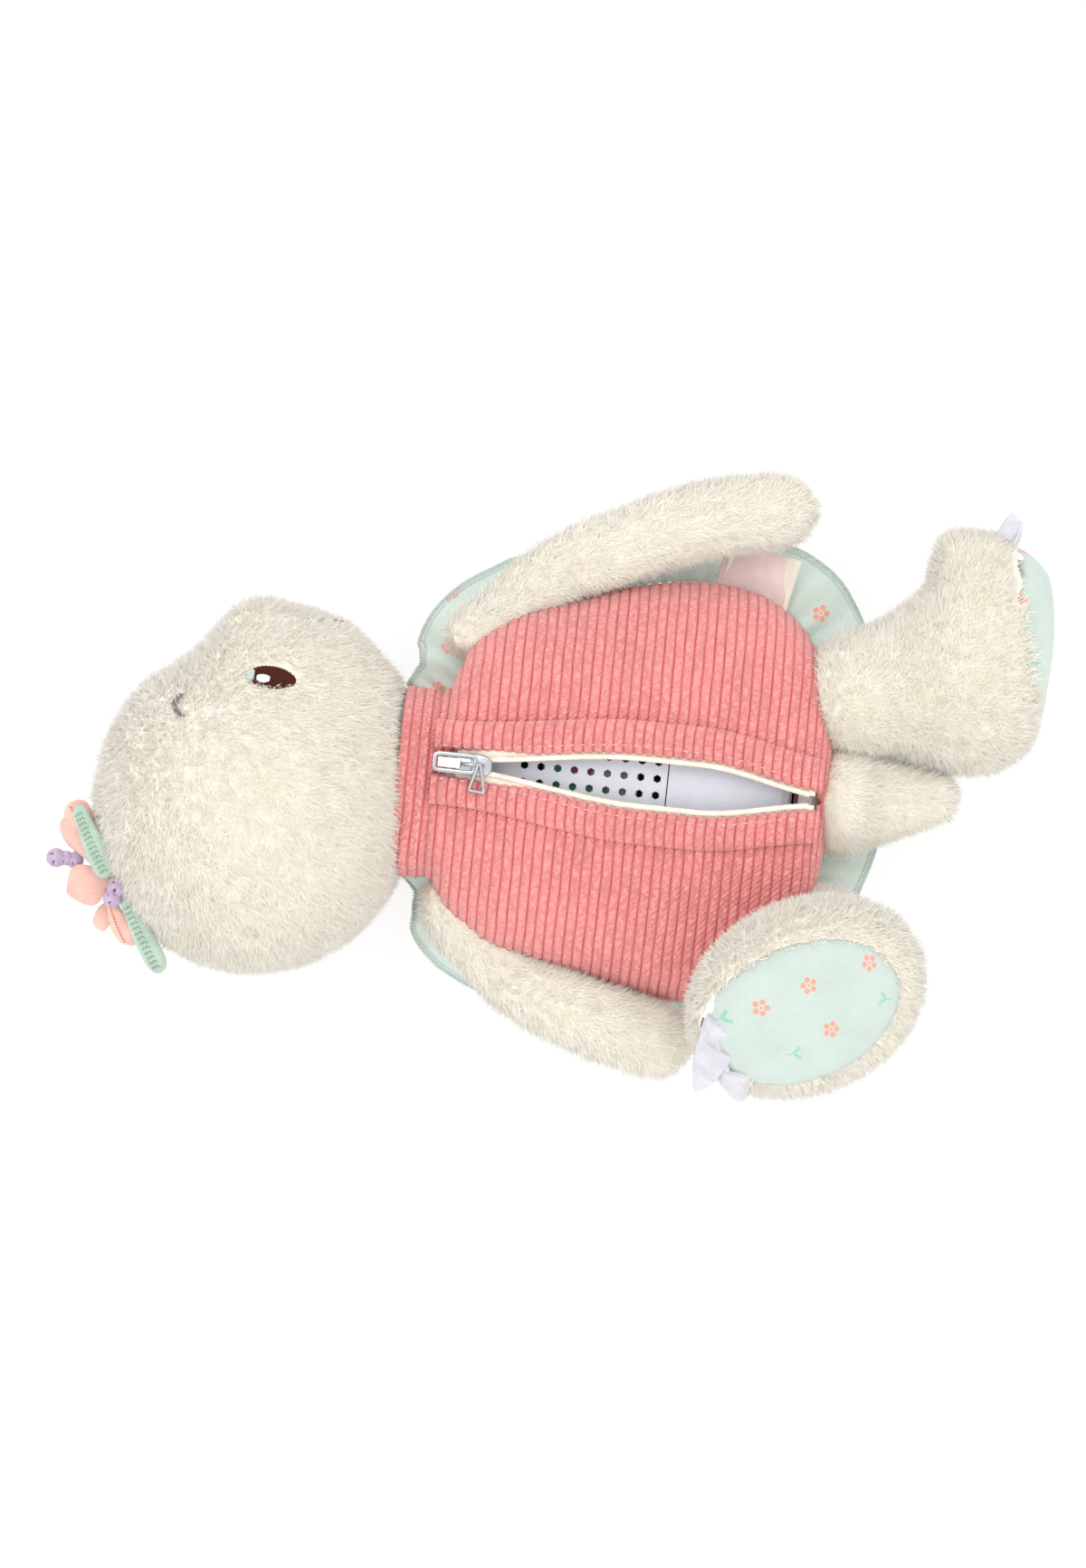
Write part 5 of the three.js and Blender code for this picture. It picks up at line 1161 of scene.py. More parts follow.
class TURTLE_OT_head(TurtleOperator):
    """Makes the stuffed head with its pile"""
    bl_idname = "turtle.head"
    bl_label = "Head"

    # Where the slope between the brow and the snout is pressed flat and the top of the brow lifted, seen
    # from over the toy: place, depth, reach and direction
    DENTS = (
        ((-129.0, 27.0), 4.6, 13.0, (0.456, -0.89)),
        ((-112.0, 40.0), 3.6, 9.0, (-0.3, 0.95)),
        ((-70.0, 34.0), 2.4, 9.0, (-0.7, -0.7)),
    )

    def make(self):
        eyes = [middle(f"eye_{side}") for side, _ in SIDES]
        eye_reach = np.array([7.4, 4.3, 4.0])

        def bare(points, normals):
            neck = (points[:, 0] > box("head")[1][0] - 1.2) & (normals[:, 0] > 0.9)
            hidden = neck | (points[:, 2] < 0.8)
            for centre in eyes:
                hidden |= (((points - centre) / eye_reach) ** 2).sum(axis=1) < 1.2
            return hidden

        plush_body("head", 2, bare, (0.55, -0.35, 0.0), self.flattened,
                   density_share=0.8)

    def flattened(self, points):
        above_floor = smoothstep((points[:, 2] - 6) / 20)
        for place, depth, reach, push in self.DENTS:
            points = pushed(points, place, reach, push, depth, above_floor)
        return points


class TURTLE_OT_limbs(TurtleOperator):
    """Makes the stuffed arms, legs and tail with their pile"""
    bl_idname = "turtle.limbs"
    bl_label = "Arms, legs and tail"

    def make(self):
        for side, sign in SIDES:
            self.arm(side, sign)
            self.leg(side, sign)
        self.tail()

    def arm(self, side, sign):
        shoulder = joint_place(f"arm_{side}_swing")

        def shape(points):
            return self.tucked(points, shoulder)
        plush_body(f"arm_{side}", 11 + sign, bare_in_trunk, (0.8, 0.3 * sign, 0.0), shape,
                   voxel=1.1, rounds=8, swell=-0.7)

    def leg(self, side, sign):
        shape = self.toes if side == "left" else self.moved_foot
        plush_body(f"leg_{side}", 21 + sign, self.leg_bare(side), (0.45, 0.35 * sign, 0.0), shape)

    def tail(self):
        root = joint_place("tail_lift")

        def shape(points):
            return self.fuller(points, root)
        plush_body("tail", 31, bare_in_trunk, (0.9, -0.2, 0.0), shape, voxel=1.0, rounds=6)

    def tucked(self, points, root):
        """Sinks the arm's root, so that the belly lies over it."""
        away = np.linalg.norm(points[:, :2] - root[:2], axis=1)
        depth = 8.5 * (1 - smoothstep((away - 8) / 30))
        sunk = points - depth[:, None] * np.array([0, 0, 1])
        sign = np.sign(root[1])
        return pushed(sunk, (-45.5, 42.0 * sign), 10, (-6.5, -6.0 * sign))

    def toes(self, points):
        """Squares the top of the foot and presses the ankle in."""
        squared = pushed(points, (69.5, 67.0), 9.0, (4.4, -3.6))
        return pushed(squared, (81.5, 75.5), 8.0, (-2.6, 2.4))

    def moved_foot(self, points):
        return points + FOOT_MOVE

    def fuller(self, points, root):
        """Widens the tail where it meets the shell."""
        ahead = points[:, 0] - root[0]
        share = 0.3 * (1 - smoothstep((ahead - 4) / 22)) + 0.22
        line = np.column_stack([points[:, 0], np.full(len(points), root[1]), np.full(len(points), root[2])])
        moved = points + (points - line) * share[:, None]
        return moved + smoothstep(ahead / 30)[:, None] * np.array([3.5, 2.6, 0])

    def leg_bare(self, side):
        centre, facing, toes, across, half_length, half_width = sole_frame(side)
        margin = 1.8 if side == "left" else 0.8

        def bare(points, normals):
            local = points - centre
            long_share = (local @ toes) / (half_length - margin)
            wide_share = (local @ across) / (half_width - margin)
            under_sole = (long_share ** 2 + wide_share ** 2 < 1) & (np.abs(local @ facing) < 9)
            return in_trunk(points) | under_sole
        return bare


# How far the right foot and the soles lie from their frame forms, and the visible size of each sole
FOOT_MOVE = np.array([2.2, 2.6, 0])
SOLE_MOVES = {"left": np.array([0, 5.4, 1.8]), "right": np.array([-1.2, 1.4, 0])}
SOLE_SIZES = {"left": (53, 43), "right": (55.5, 38)}


def sole_frame(side):
    """Middle of a sole, the ways it faces, points and lies across, and half its length and width."""
    facing, toes = SOLE_AXES[side]
    long, wide = SOLE_SIZES[side]
    centre = middle(f"sole_{side}") + SOLE_MOVES[side]
    return centre, facing, toes, np.cross(facing, toes), long / 2, wide / 2


def unit_vector(*values):
    vector = np.array(values, float)
    return vector / np.linalg.norm(vector)


def square_to(axis, vector):
    flat = vector - axis * (vector @ axis)
    return flat / np.linalg.norm(flat)


RIGHT_FACING = unit_vector(0.264, -0.15, 0.95)
# For each foot: the way the sole faces, and the way its toes point
SOLE_AXES = {
    "left": (unit_vector(1, 0, 0), unit_vector(0, 1, 0)),
    "right": (RIGHT_FACING, square_to(RIGHT_FACING, np.array([-0.877, -0.481, 0.157]))),
}


class TURTLE_OT_feet(TurtleOperator):
    """Makes the printed soles and the felt claws"""
    bl_idname = "turtle.feet"
    bl_label = "Soles and claws"

    def make(self):
        jersey = jersey_material("Printed sole", 0.84)
        felt = cloth_material("White felt", srgb(204, 205, 213), srgb(190, 191, 200), clouds=200.0,
                              fibres=1500.0, bump=0.3, sheen=0.3)
        for side in ("left", "right"):
            self.sole(side, jersey)
            self.claws(side, felt)

    def sole(self, side, material):
        centre, facing, toes, across, half_length, half_width = sole_frame(side)
        ground = grounds[f"leg_{side}"]
        rings, sides = 22, 96
        turns = np.linspace(0, 2 * math.pi, sides, endpoint=False)
        spokes = [toes * half_length * math.cos(turn) + across * half_width * math.sin(turn)
                  for turn in turns]
        # Rays start well over the foot, and a ray that misses it ends at the place nearest to its own end
        above, reach = 25, 27
        places = np.array([
            [ground.onto(centre + i / rings * spoke + facing * above, -facing, reach) for spoke in spokes]
            for i in range(1, rings + 1)])
        # The rim is evened out, because some of its points find the foot's side and some its front
        evening = smoothstep((np.arange(rings) - 13) / 7)[:, None, None]
        for _ in range(14):
            evened = (np.roll(places, 1, axis=1) + 2 * places + np.roll(places, -1, axis=1)) / 4
            places += evening * (evened - places)
        layers = []
        maps = []
        for lift, order in ((1.0, 1), (-0.6, -1)):
            for i in range(1, rings + 1)[::order]:
                share = i / rings
                for k in range(sides):
                    turn = turns[k]
                    a = share * half_length * math.cos(turn)
                    b = share * half_width * math.sin(turn)
                    place = places[i - 1, k]
                    puff = 0
                    if lift > 0:
                        puff = 0.9 * (1 - share ** 6) + 0.35 * noise.noise(Vector((a / 11, b / 11, lift)))
                    layers.append(place + facing * (lift + puff))
                    maps.append((a + 40, b + 40))
        faces = ring_faces(2 * rings, sides)
        obj = outward(mesh_object(f"sole_{side}_jersey", layers, faces, material, maps))
        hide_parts(f"sole_{side}")
        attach(obj, f"leg_{side}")

    # Root and tip as seen from over the toy, drop from root to tip, and width, for the claws that show
    CLAWS = {
        "left": [((96.0, 76.2), (97.4, 85.6), 2.5, 6.8)],
        "right": [
            ((28.6, -61.8), (25.2, -71.0), 8.0, 9.0), ((28.6, -67.6), (24.8, -81.4), 13.0, 11.0),
            ((33.0, -73.6), (37.2, -83.2), 13.0, 11.0)],
    }
    # Claws under the left foot's toes: where each leaves the foot along X and Z, its reach and its width
    HIDDEN_CLAWS = [(98.5, 53.0, 7.5, 8.5), (98.0, 40.0, 6.5, 8.0)]

    def claw_width(self, s):
        """Half width of a claw from its root to its rounded point."""
        return float(max(1 - s ** 1.8, 0) ** 0.75)

    def claws(self, side, felt):
        """Felt strip with three points, which lies round the toes."""
        ground = grounds[f"leg_{side}"]
        table = []
        for root, tip, drop, width in self.CLAWS[side]:
            place, normal = ground.under((*root, 200), (0, 0, -1))
            start = place + 1.3 * normal
            table.append((start, np.array([*tip, start[2] - drop]), width, normal))
        if side == "left":
            for x, z, reach, width in self.HIDDEN_CLAWS:
                place, normal = ground.under((x, 200, z), (0, -1, 0))
                start = place - 1.5 * normal
                end = start + np.array([1.6, reach + 1.5, -0.5])
                table.append((start, end, width, np.array([1, -0.2, 0])))
        pieces = [felt_blade(f"claw_{side}_{i}", *claw, self.claw_width, felt, 1.5, 0.8)
                  for i, claw in enumerate(table)]
        first, second, third = (claw[0] for claw in table)
        bow = [first * (1 - s) ** 2 + second * 2 * s * (1 - s) + third * s * s
               for s in np.linspace(0, 1, 24)]
        pieces.append(tubes(f"claw_band_{side}", [bow], 0.9, felt, 8))
        obj = joined(f"claws_{side}_felt", pieces)
        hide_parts(f"claws_{side}")
        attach(obj, f"leg_{side}")


class TURTLE_OT_belly(TurtleOperator):
    """Makes the two corduroy halves of the belly"""
    bl_idname = "turtle.belly"
    bl_label = "Belly panels"

    def make(self):
        finish = corduroy()
        for side, sign in SIDES:
            grid, run = self.half(sign)
            obj = corduroy_sheet(
                f"belly_{side}_cord", grid, run, finish, tuck=(1.0, 0, 1.6, 0.6), seed=3.0 * sign)
            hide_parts(f"belly_panel_{side}")
            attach(obj, "trunk")

    def half(self, sign, step=0.32, columns=96):
        run, rows = ridge_rows(step)
        dense = np.linspace(0, math.pi / 2, 260) if sign > 0 else np.linspace(math.pi, math.pi / 2, 260)
        grid = []
        for t in rows:
            ring = trunk_ring(t, dense)
            inner = (lip_edge(ring[0, 0]) + COIL_WIDTH + 0.8) * (1 - smoothstep((ring[0, 0] - 50) / 4))
            keep = np.maximum(sign * ring[:, 1] - inner, 0)
            last = np.argmax(keep <= 0) if (keep <= 0).any() else len(ring) - 1
            cut = ring[:max(last, 4) + 1]
            over = run_along(cut)
            even = np.linspace(0, over[-1], columns + 1)
            grid.append(np.stack([np.interp(even, over, cut[:, axis]) for axis in range(3)], axis=1))
        reach = 3.2
        lead = []
        for ahead in np.arange(reach, 0, -step):
            row = grid[0].copy()
            row[:, 0] -= ahead
            row[:, 1:] -= (row[:, 1:] - np.array([-6.5, SEAM_HEIGHT])) * 0.045 * (ahead / reach) ** 2
            lead.append(row)
        run = np.concatenate([-np.arange(reach, 0, -step), run])
        return np.array(lead + grid), np.repeat(run[:, None], columns + 1, axis=1)


class TURTLE_OT_collar(TurtleOperator):
    """Makes the corduroy band round the neck"""
    bl_idname = "turtle.collar"
    bl_label = "Collar"

    def make(self):
        finish = corduroy()
        low, high = box("collar")
        front, back = low[0] - 2.6, high[0] + 1.8
        angles = np.linspace(0, 2 * math.pi, 241)
        ring = trunk_ring(0, angles)
        xs = np.arange(front, back, 0.3)
        grid = np.repeat(ring[None], len(xs), axis=0)
        grid[:, :, 0] = xs[:, None]
        run = np.repeat((xs - front)[:, None], len(angles), axis=1) + 0.15 * np.sin(angles * 3)[None, :]
        dip = 0.9 + 1.6 * smoothstep((xs + 57) / 3)
        centre = ring.mean(axis=0)
        inward = to_unit(centre - ring)
        grid += dip[:, None, None] * inward
        obj = corduroy_sheet("collar_cord", grid, run, finish, puff=0.35, seed=8)
        outward(obj, 0.05)
        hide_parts("collar")
        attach(obj, "trunk")
        path = ring + inward * 0.6
        path[:, 0] = high[0] - 4.6
        pitch = settings("trim").stitch_pitch / MM
        stitches = stitch_rows("collar_stitches", [path], topstitch(), pitch, (2.0, 0.42, 0.42))
        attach(stitches, "trunk")


class TURTLE_OT_shell(TurtleOperator):
    """Makes the shell under the toy and the ruffle round its seam"""
    bl_idname = "turtle.shell"
    bl_label = "Shell and ruffle"

    def make(self):
        self.jersey = bpy.data.materials.get("Printed jersey") or jersey_material("Printed jersey")
        self.dome()
        self.ruffle()

    def dome(self):
        rows = np.concatenate([np.linspace(0, 0.75, 90), np.linspace(0.757, 1, 60)])
        angles = np.linspace(math.pi, 2 * math.pi, 91)
        grid = np.array([trunk_ring(t, angles) for t in rows])
        steps = np.linalg.norm(np.diff(grid, axis=1), axis=2)
        over = np.concatenate([np.zeros((len(rows), 1)), np.cumsum(steps, axis=1)], axis=1)
        uv = np.stack([grid[..., 0] + 70, over - over[:, -1:] / 2 + 90], axis=2)
        normal = sheet_normals(grid)
        if normal[60, 45, 2] > 0:
            normal = -normal
        broad = speckle(grid.reshape(-1, 3), 15, 4).reshape(grid.shape[:2])
        on_floor = smoothstep((grid[..., 2] - 0.5) / 4)
        points = grid + normal * (0.5 * broad * on_floor)[..., None]
        faces = grid_faces(*grid.shape[:2])
        obj = mesh_object("shell_jersey", points.reshape(-1, 3), faces, self.jersey, uv.reshape(-1, 2))
        facing_along(obj, normal)
        walled(obj, 0.9, -1)
        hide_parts("shell_cover")
        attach(obj, "trunk")

    def seam(self):
        """Outline of the trunk at its seam, from the neck round the tail and back."""
        t = np.linspace(0.002, 1, 900)
        stations = through_stations(t)
        x = TRUNK_FRONT + TRUNK_LENGTH * stations[:, 0]
        half = stations[:, 1] * TRUNK_WIDTH / 2
        lead = np.linspace(-8.2, -0.4, 14)
        path = np.concatenate([
            np.stack([x[0] + lead, stations[0, 2] + half[0] + 0.25 * lead], axis=1),
            np.stack([x, stations[:, 2] + half], axis=1),
            np.stack([x, stations[:, 2] - half], axis=1)[::-1],
            np.stack([x[0] + lead, stations[0, 2] - half[0] - 0.25 * lead], axis=1)[::-1]])
        run = run_along(path)
        even = np.linspace(0, run[-1], 700)
        return np.stack([np.interp(even, run, path[:, k]) for k in range(2)], axis=1), even

    def ruffle(self):
        folds, width, droop, wave = 13, 15.5, 5, 2.6
        path, run = self.seam()
        tangent = to_unit(np.gradient(path, axis=0))
        out = np.stack([-tangent[:, 1], tangent[:, 0]], axis=1)
        window = 31
        even = np.ones(window) / window
        padded = [np.pad(out[:, k], window // 2, "edge") for k in range(2)]
        out = to_unit(np.stack([np.convolve(line, even, "valid") for line in padded], axis=1))
        t = run / run[-1]
        left = run[-1] - run
        end = np.minimum(run, left)
        out[:, 0] -= 2.4 * np.maximum(1 - end / 14, 0) ** 1.5
        out = to_unit(out)
        slim = (1 - 0.5 * (1 - smoothstep(left / 45))) * (0.12 + 0.88 * smoothstep(left / 22 + 0.12))
        full = np.interp(run, [0, 7, 16, 26, 40, 60, 90], [0.3, 0.6, 0.82, 0.95, 1.15, 1.05, 1])
        reach = (width + 2 * np.sin(t * folds * math.pi)) * slim * full
        inset = 0.4 - 2.6 * (1 - smoothstep(end / 26))
        wobble = np.sin(t * folds * 2 * math.pi) + 0.35 * np.sin(t * folds * 5.3 * math.pi + 1)
        columns = 22
        rows = []
        for j in range(columns):
            share = j / (columns - 1)
            crease = 0.8 * np.sin(run * 2 * math.pi / 6.3 + 1.5 * np.sin(run / 11)) * (1 - share) ** 1.2
            level = SEAM_HEIGHT - 3 - droop * share ** 1.5 + wave * wobble * share + crease
            spread = path + out * (inset + (reach + 0.4 - inset) * share)[:, None]
            rows.append(np.column_stack([spread, level]))
        grid = np.array(rows).transpose(1, 0, 2)
        along = np.repeat(run[:, None] * 1.25, columns, axis=1)
        over = np.repeat((np.arange(columns) / (columns - 1) * width)[None, :], len(run), axis=0)
        uv = np.stack([along, over], axis=2)
        faces = grid_faces(*grid.shape[:2])
        obj = mesh_object("ruffle_jersey", grid.reshape(-1, 3), faces, self.jersey, uv.reshape(-1, 2))
        walled(obj, 0.8, 0)
        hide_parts("shell_ruffle")
        rim = grid[:, -1]
        thread = thread_material("Overlock thread", settings("jersey").overlock, 0.75)
        inner = grid[:, -3]
        half_way = (rim + inner) / 2
        lifted = np.array([0, 0, 0.35])
        stitches = [
            stitch_rows("overlock_a", [half_way + lifted], thread, 0.8, (2.7, 0.55, 0.7), 1.15, 4),
            stitch_rows("overlock_b", [half_way - lifted], thread, 0.9, (2.7, 0.55, 0.7), -1.25, 5),
            stitch_rows("overlock_c", [rim], thread, 0.7, (1.1, 0.8, 1.3), 0.0, 6),
            stitch_rows("overlock_d", [inner + lifted], thread, 0.8, (1.1, 0.5, 0.7), 0.0, 7),
        ]
        overlock = joined("ruffle_overlock", stitches)
        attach(overlock, "trunk")
        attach(obj, "trunk")


class TURTLE_OT_zip(TurtleOperator):
    """Makes the welts, the tapes with their coil, the slider and its pull"""
    bl_idname = "turtle.zip"
    bl_label = "Zip and welts"

    def make(self):
        cord = corduroy()
        tape = woven_material("Zip tape", settings("trim").tape)
        coil = cloth_material("Zip coil", tuple(settings("trim").tape), clouds=300.0, fibres=2500.0,
                              bump=0.1, roughness=0.6)
        stitch = topstitch()
        for side, sign in SIDES:
            for part, (start, end) in (("front", (TRUNK_FRONT - 2.6, 10)), ("back", (10, ZIP_END + 1.5))):
                where = f"{side}_{part}"
                pieces = [
                    self.welt(f"welt_{where}", sign, start, end, cord),
                    self.tape(f"tape_{where}", sign, max(start, ZIP_START - 3), min(end, ZIP_END), tape),
                    self.coil(f"coil_{where}", sign, max(start, ZIP_START), min(end, ZIP_END - 2), coil),
                    self.stitches(f"welt_stitches_{where}", sign, start + 3, end - 2, stitch),
                ]
                if part == "front":
                    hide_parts(f"zip_welt_{side}")
                    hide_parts(f"zip_tape_{side}")
                for piece, name in zip(pieces, ("corduroy", "zip_tape", "zip_tape", "corduroy")):
                    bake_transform(piece)
        self.metal()

    def welt(self, name, sign, start, end, material):
        pitch = settings("corduroy").pitch / MM
        xs = np.arange(start, end + 0.15, 0.3)
        xs[-1] = end
        run = np.interp(xs, TOP_X, TOP_RUN) + np.minimum(xs - TRUNK_FRONT, 0)
        inner = lip_edge(xs) + 2.1 + 1.3 * (1 - smoothstep((xs + 40) / 14))
        outer = lip_edge(xs) + 11.4
        level = belly_height(xs) + 0.6
        sides = 30
        points = []
        grooves = []
        for x, a, b, z, place in zip(xs, inner, outer, level, run):
            for k in range(sides):
                turn = 2 * math.pi * k / sides
                across = (a + b) / 2 - (b - a) / 2 * power_share(math.cos(turn), 2.6)
                over = math.sin(turn)
                inward = max(math.cos(turn), 0)
                ribs = rib_share(place + 0.6 * over, pitch)
                fuzz = 0.12 * noise.noise(Vector((x, across, over)) * 0.9)
                full = 0.35 + 0.65 * float(smoothstep((x - TRUNK_FRONT + 2.5) / 5))
                rise = full * 2.7 * over * (1 + 0.25 * inward)
                if over > 0:
                    rise += 0.6 * (ribs - 1) * over + fuzz
                if over < 0:
                    rise = 0.9 * over
                if over > -0.3:
                    across += 0.5 * (ribs - 0.6) * -inward
                points.append((x, sign * across, z + rise))
                # Painted shade: the groove attribute follows the ribs on top, and gives half the groove
                # colour to the welt's underside
                grooves.append(1 - ribs if over > -0.2 else 0.5)
        obj = mesh_object(name, points, ring_faces(len(xs), sides), material)
        set_attribute(obj, "groove", grooves)
        return outward(obj, 0.0001)

    def tape(self, name, sign, start, end, material):
        """Flat band that runs from under the coil to under the welt."""
        offset, half, low, high = 4.1, 3.4, 0.3, 0.8
        xs = np.linspace(start, end, int((end - start) / 0.8) + 2)
        points = []
        for x in xs:
            centre = float(lip_edge(x)) + offset
            z = float(belly_height(x))
            for out, up in ((-half, low), (half, low), (half, high), (-half, high)):
                points.append((x, sign * (centre + out), z + up))
        return outward(mesh_object(name, points, ring_faces(len(xs), 4), material, smooth=False))

    def beside(self, start, end, count, sign, aside, over):
        """Line along an edge of the zip, at a distance to its side and over the belly."""
        xs = np.linspace(start, end, count)
        return [(x, sign * (float(lip_edge(x)) + aside), float(belly_height(x)) + over) for x in xs]

    def coil(self, name, sign, start, end, material):
        path = self.beside(start, end, 60, sign, 0.95, 1.05)
        return stitch_rows(name, [path], material, 0.62, (1.9, 0.95, 1.6), 1.35 * sign, 3)

    def stitches(self, name, sign, start, end, material):
        path = self.beside(start, end, 50, sign, 4.2, 3.25)
        return stitch_rows(name, [path], material, settings("trim").stitch_pitch / MM, (1.7, 0.34, 0.34))

    def plate(self, name, outline, low, high, material, bevel):
        points = [(x, y, low) for x, y in outline] + [(x, y, high) for x, y in outline]
        count = len(outline)
        faces = [tuple(range(count))[::-1], tuple(range(count, 2 * count))]
        faces += [(k, (k + 1) % count, (k + 1) % count + count, k + count) for k in range(count)]
        return bevelled(outward(mesh_object(name, points, faces, material)), bevel, 3)

    def metal(self):
        metal = hard_material(
            "Nickel plate", settings("trim").metal, 0.18, metallic=1.0, scale=500.0, worn=0.15)
        inset = hard_material("Pull enamel", srgb(236, 232, 222), 0.35)
        low, high = box("zip_slider")
        centre = (low + high) / 2
        level = belly_height(centre[0]) + 0.55
        half = 3.1
        shape = []
        for k in range(40):
            turn = 2 * math.pi * k / 40
            across = half * power_share(math.sin(turn), 2.8) * (1 - 0.2 * smoothstep(-math.cos(turn)))
            shape.append((centre[0] + 5.3 * power_share(math.cos(turn), 3.2), across))
        parts = [self.plate("slider_top", shape, level + 1.15, level + 2.15, metal, 0.4),
                 self.plate("slider_under", shape, level - 2.1, level - 1.15, metal, 0.4)]
        heel, neck, nose = (centre[0] - back for back in (5.0, 1.6, 0.9))
        wedge = [(heel, -0.8), (neck, -0.8), (nose, 0), (neck, 0.8), (heel, 0.8)]
        parts.append(self.plate("slider_wedge", wedge, level - 1.3, level + 1.3, metal, 0.15))
        loop = [(centre[0] + 2.9 * math.cos(a), 0, level + 1.9 + 2.3 * math.sin(a))
                for a in np.linspace(0, math.pi, 17)]
        parts.append(tubes("slider_loop", [loop], 0.55, metal, 10, taper=False))
        slider = joined("slider_metal", parts)
        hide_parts("zip_slider")
        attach(slider, "zip_slider")
        self.pull(metal, inset, joint_place("pull_flip"))

    def pull(self, metal, inset, pin):
        """Frame with its inset, which turns on the slider, and the wire ring on the slider's loop."""
        reach, half = 11.3 / 2, 2.3
        rail = []
        for k in range(48):
            turn = 2 * math.pi * k / 48
            x = pin[0] - reach + 0.8 + reach * power_share(math.cos(turn), 7)
            rail.append(np.array([x, half * power_share(math.sin(turn), 7), pin[2] + 0.1]))
        rim = self.band("pull_frame", rail, 0.55, 0.55, metal)
        far, near = pin[0] - 9.6, pin[0] - 3.4
        corners = [(far, -1.35), (near, -1.35), (near, 1.35), (far, 1.35)]
        plate = self.plate("pull_inset", corners, pin[2] - 0.15, pin[2] + 0.25, inset, 0.12)
        axle = [(pin[0], -half, pin[2]), (pin[0], half, pin[2])]
        bar = tubes("pull_bar", [axle], 0.5, metal, 10, taper=False)
        top = np.array([pin[0] + 1.6, 0.6, pin[2] + 1.9])
        bends = [top + np.array(step) for step in (
            (0, 0, 0), (-2.0, -7.6, -0.9), (2.2, -7.9, -1.1), (0.4, 0.3, 0))]
        curve = []
        for a, b in zip(bends[:-1], bends[1:]):
            curve += [a + (b - a) * s for s in np.linspace(0, 1, 9)[:-1]]
        curve.append(curve[0])
        ring = tubes("pull_ring", [curve], 0.5, metal, 8, taper=False)
        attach(ring, "zip_slider")
        pull = joined("pull_metal", [rim, plate, bar])
        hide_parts("zip_pull")
        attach(pull, "zip_pull")

    def band(self, name, path, half, rise, material):
        """Flat rail along a closed level path."""
        path = np.array(path)
        tangent = to_unit(np.roll(path, -1, axis=0) - np.roll(path, 1, axis=0))
        side = np.cross(tangent, [0, 0, 1])
        points = []
        for point, out in zip(path, side):
            for a, b in ((-half, -rise), (half, -rise), (half, rise), (-half, rise)):
                points.append(point + out * a + np.array([0, 0, b]))
        count = len(path)
        faces = []
        for i in range(count):
            for k in range(4):
                a, b = i * 4 + k, i * 4 + (k + 1) % 4
                c, d = ((i + 1) % count) * 4 + (k + 1) % 4, ((i + 1) % count) * 4 + k
                faces.append((a, b, c, d))
        return bevelled(outward(mesh_object(name, points, faces, material)), 0.18, 2)


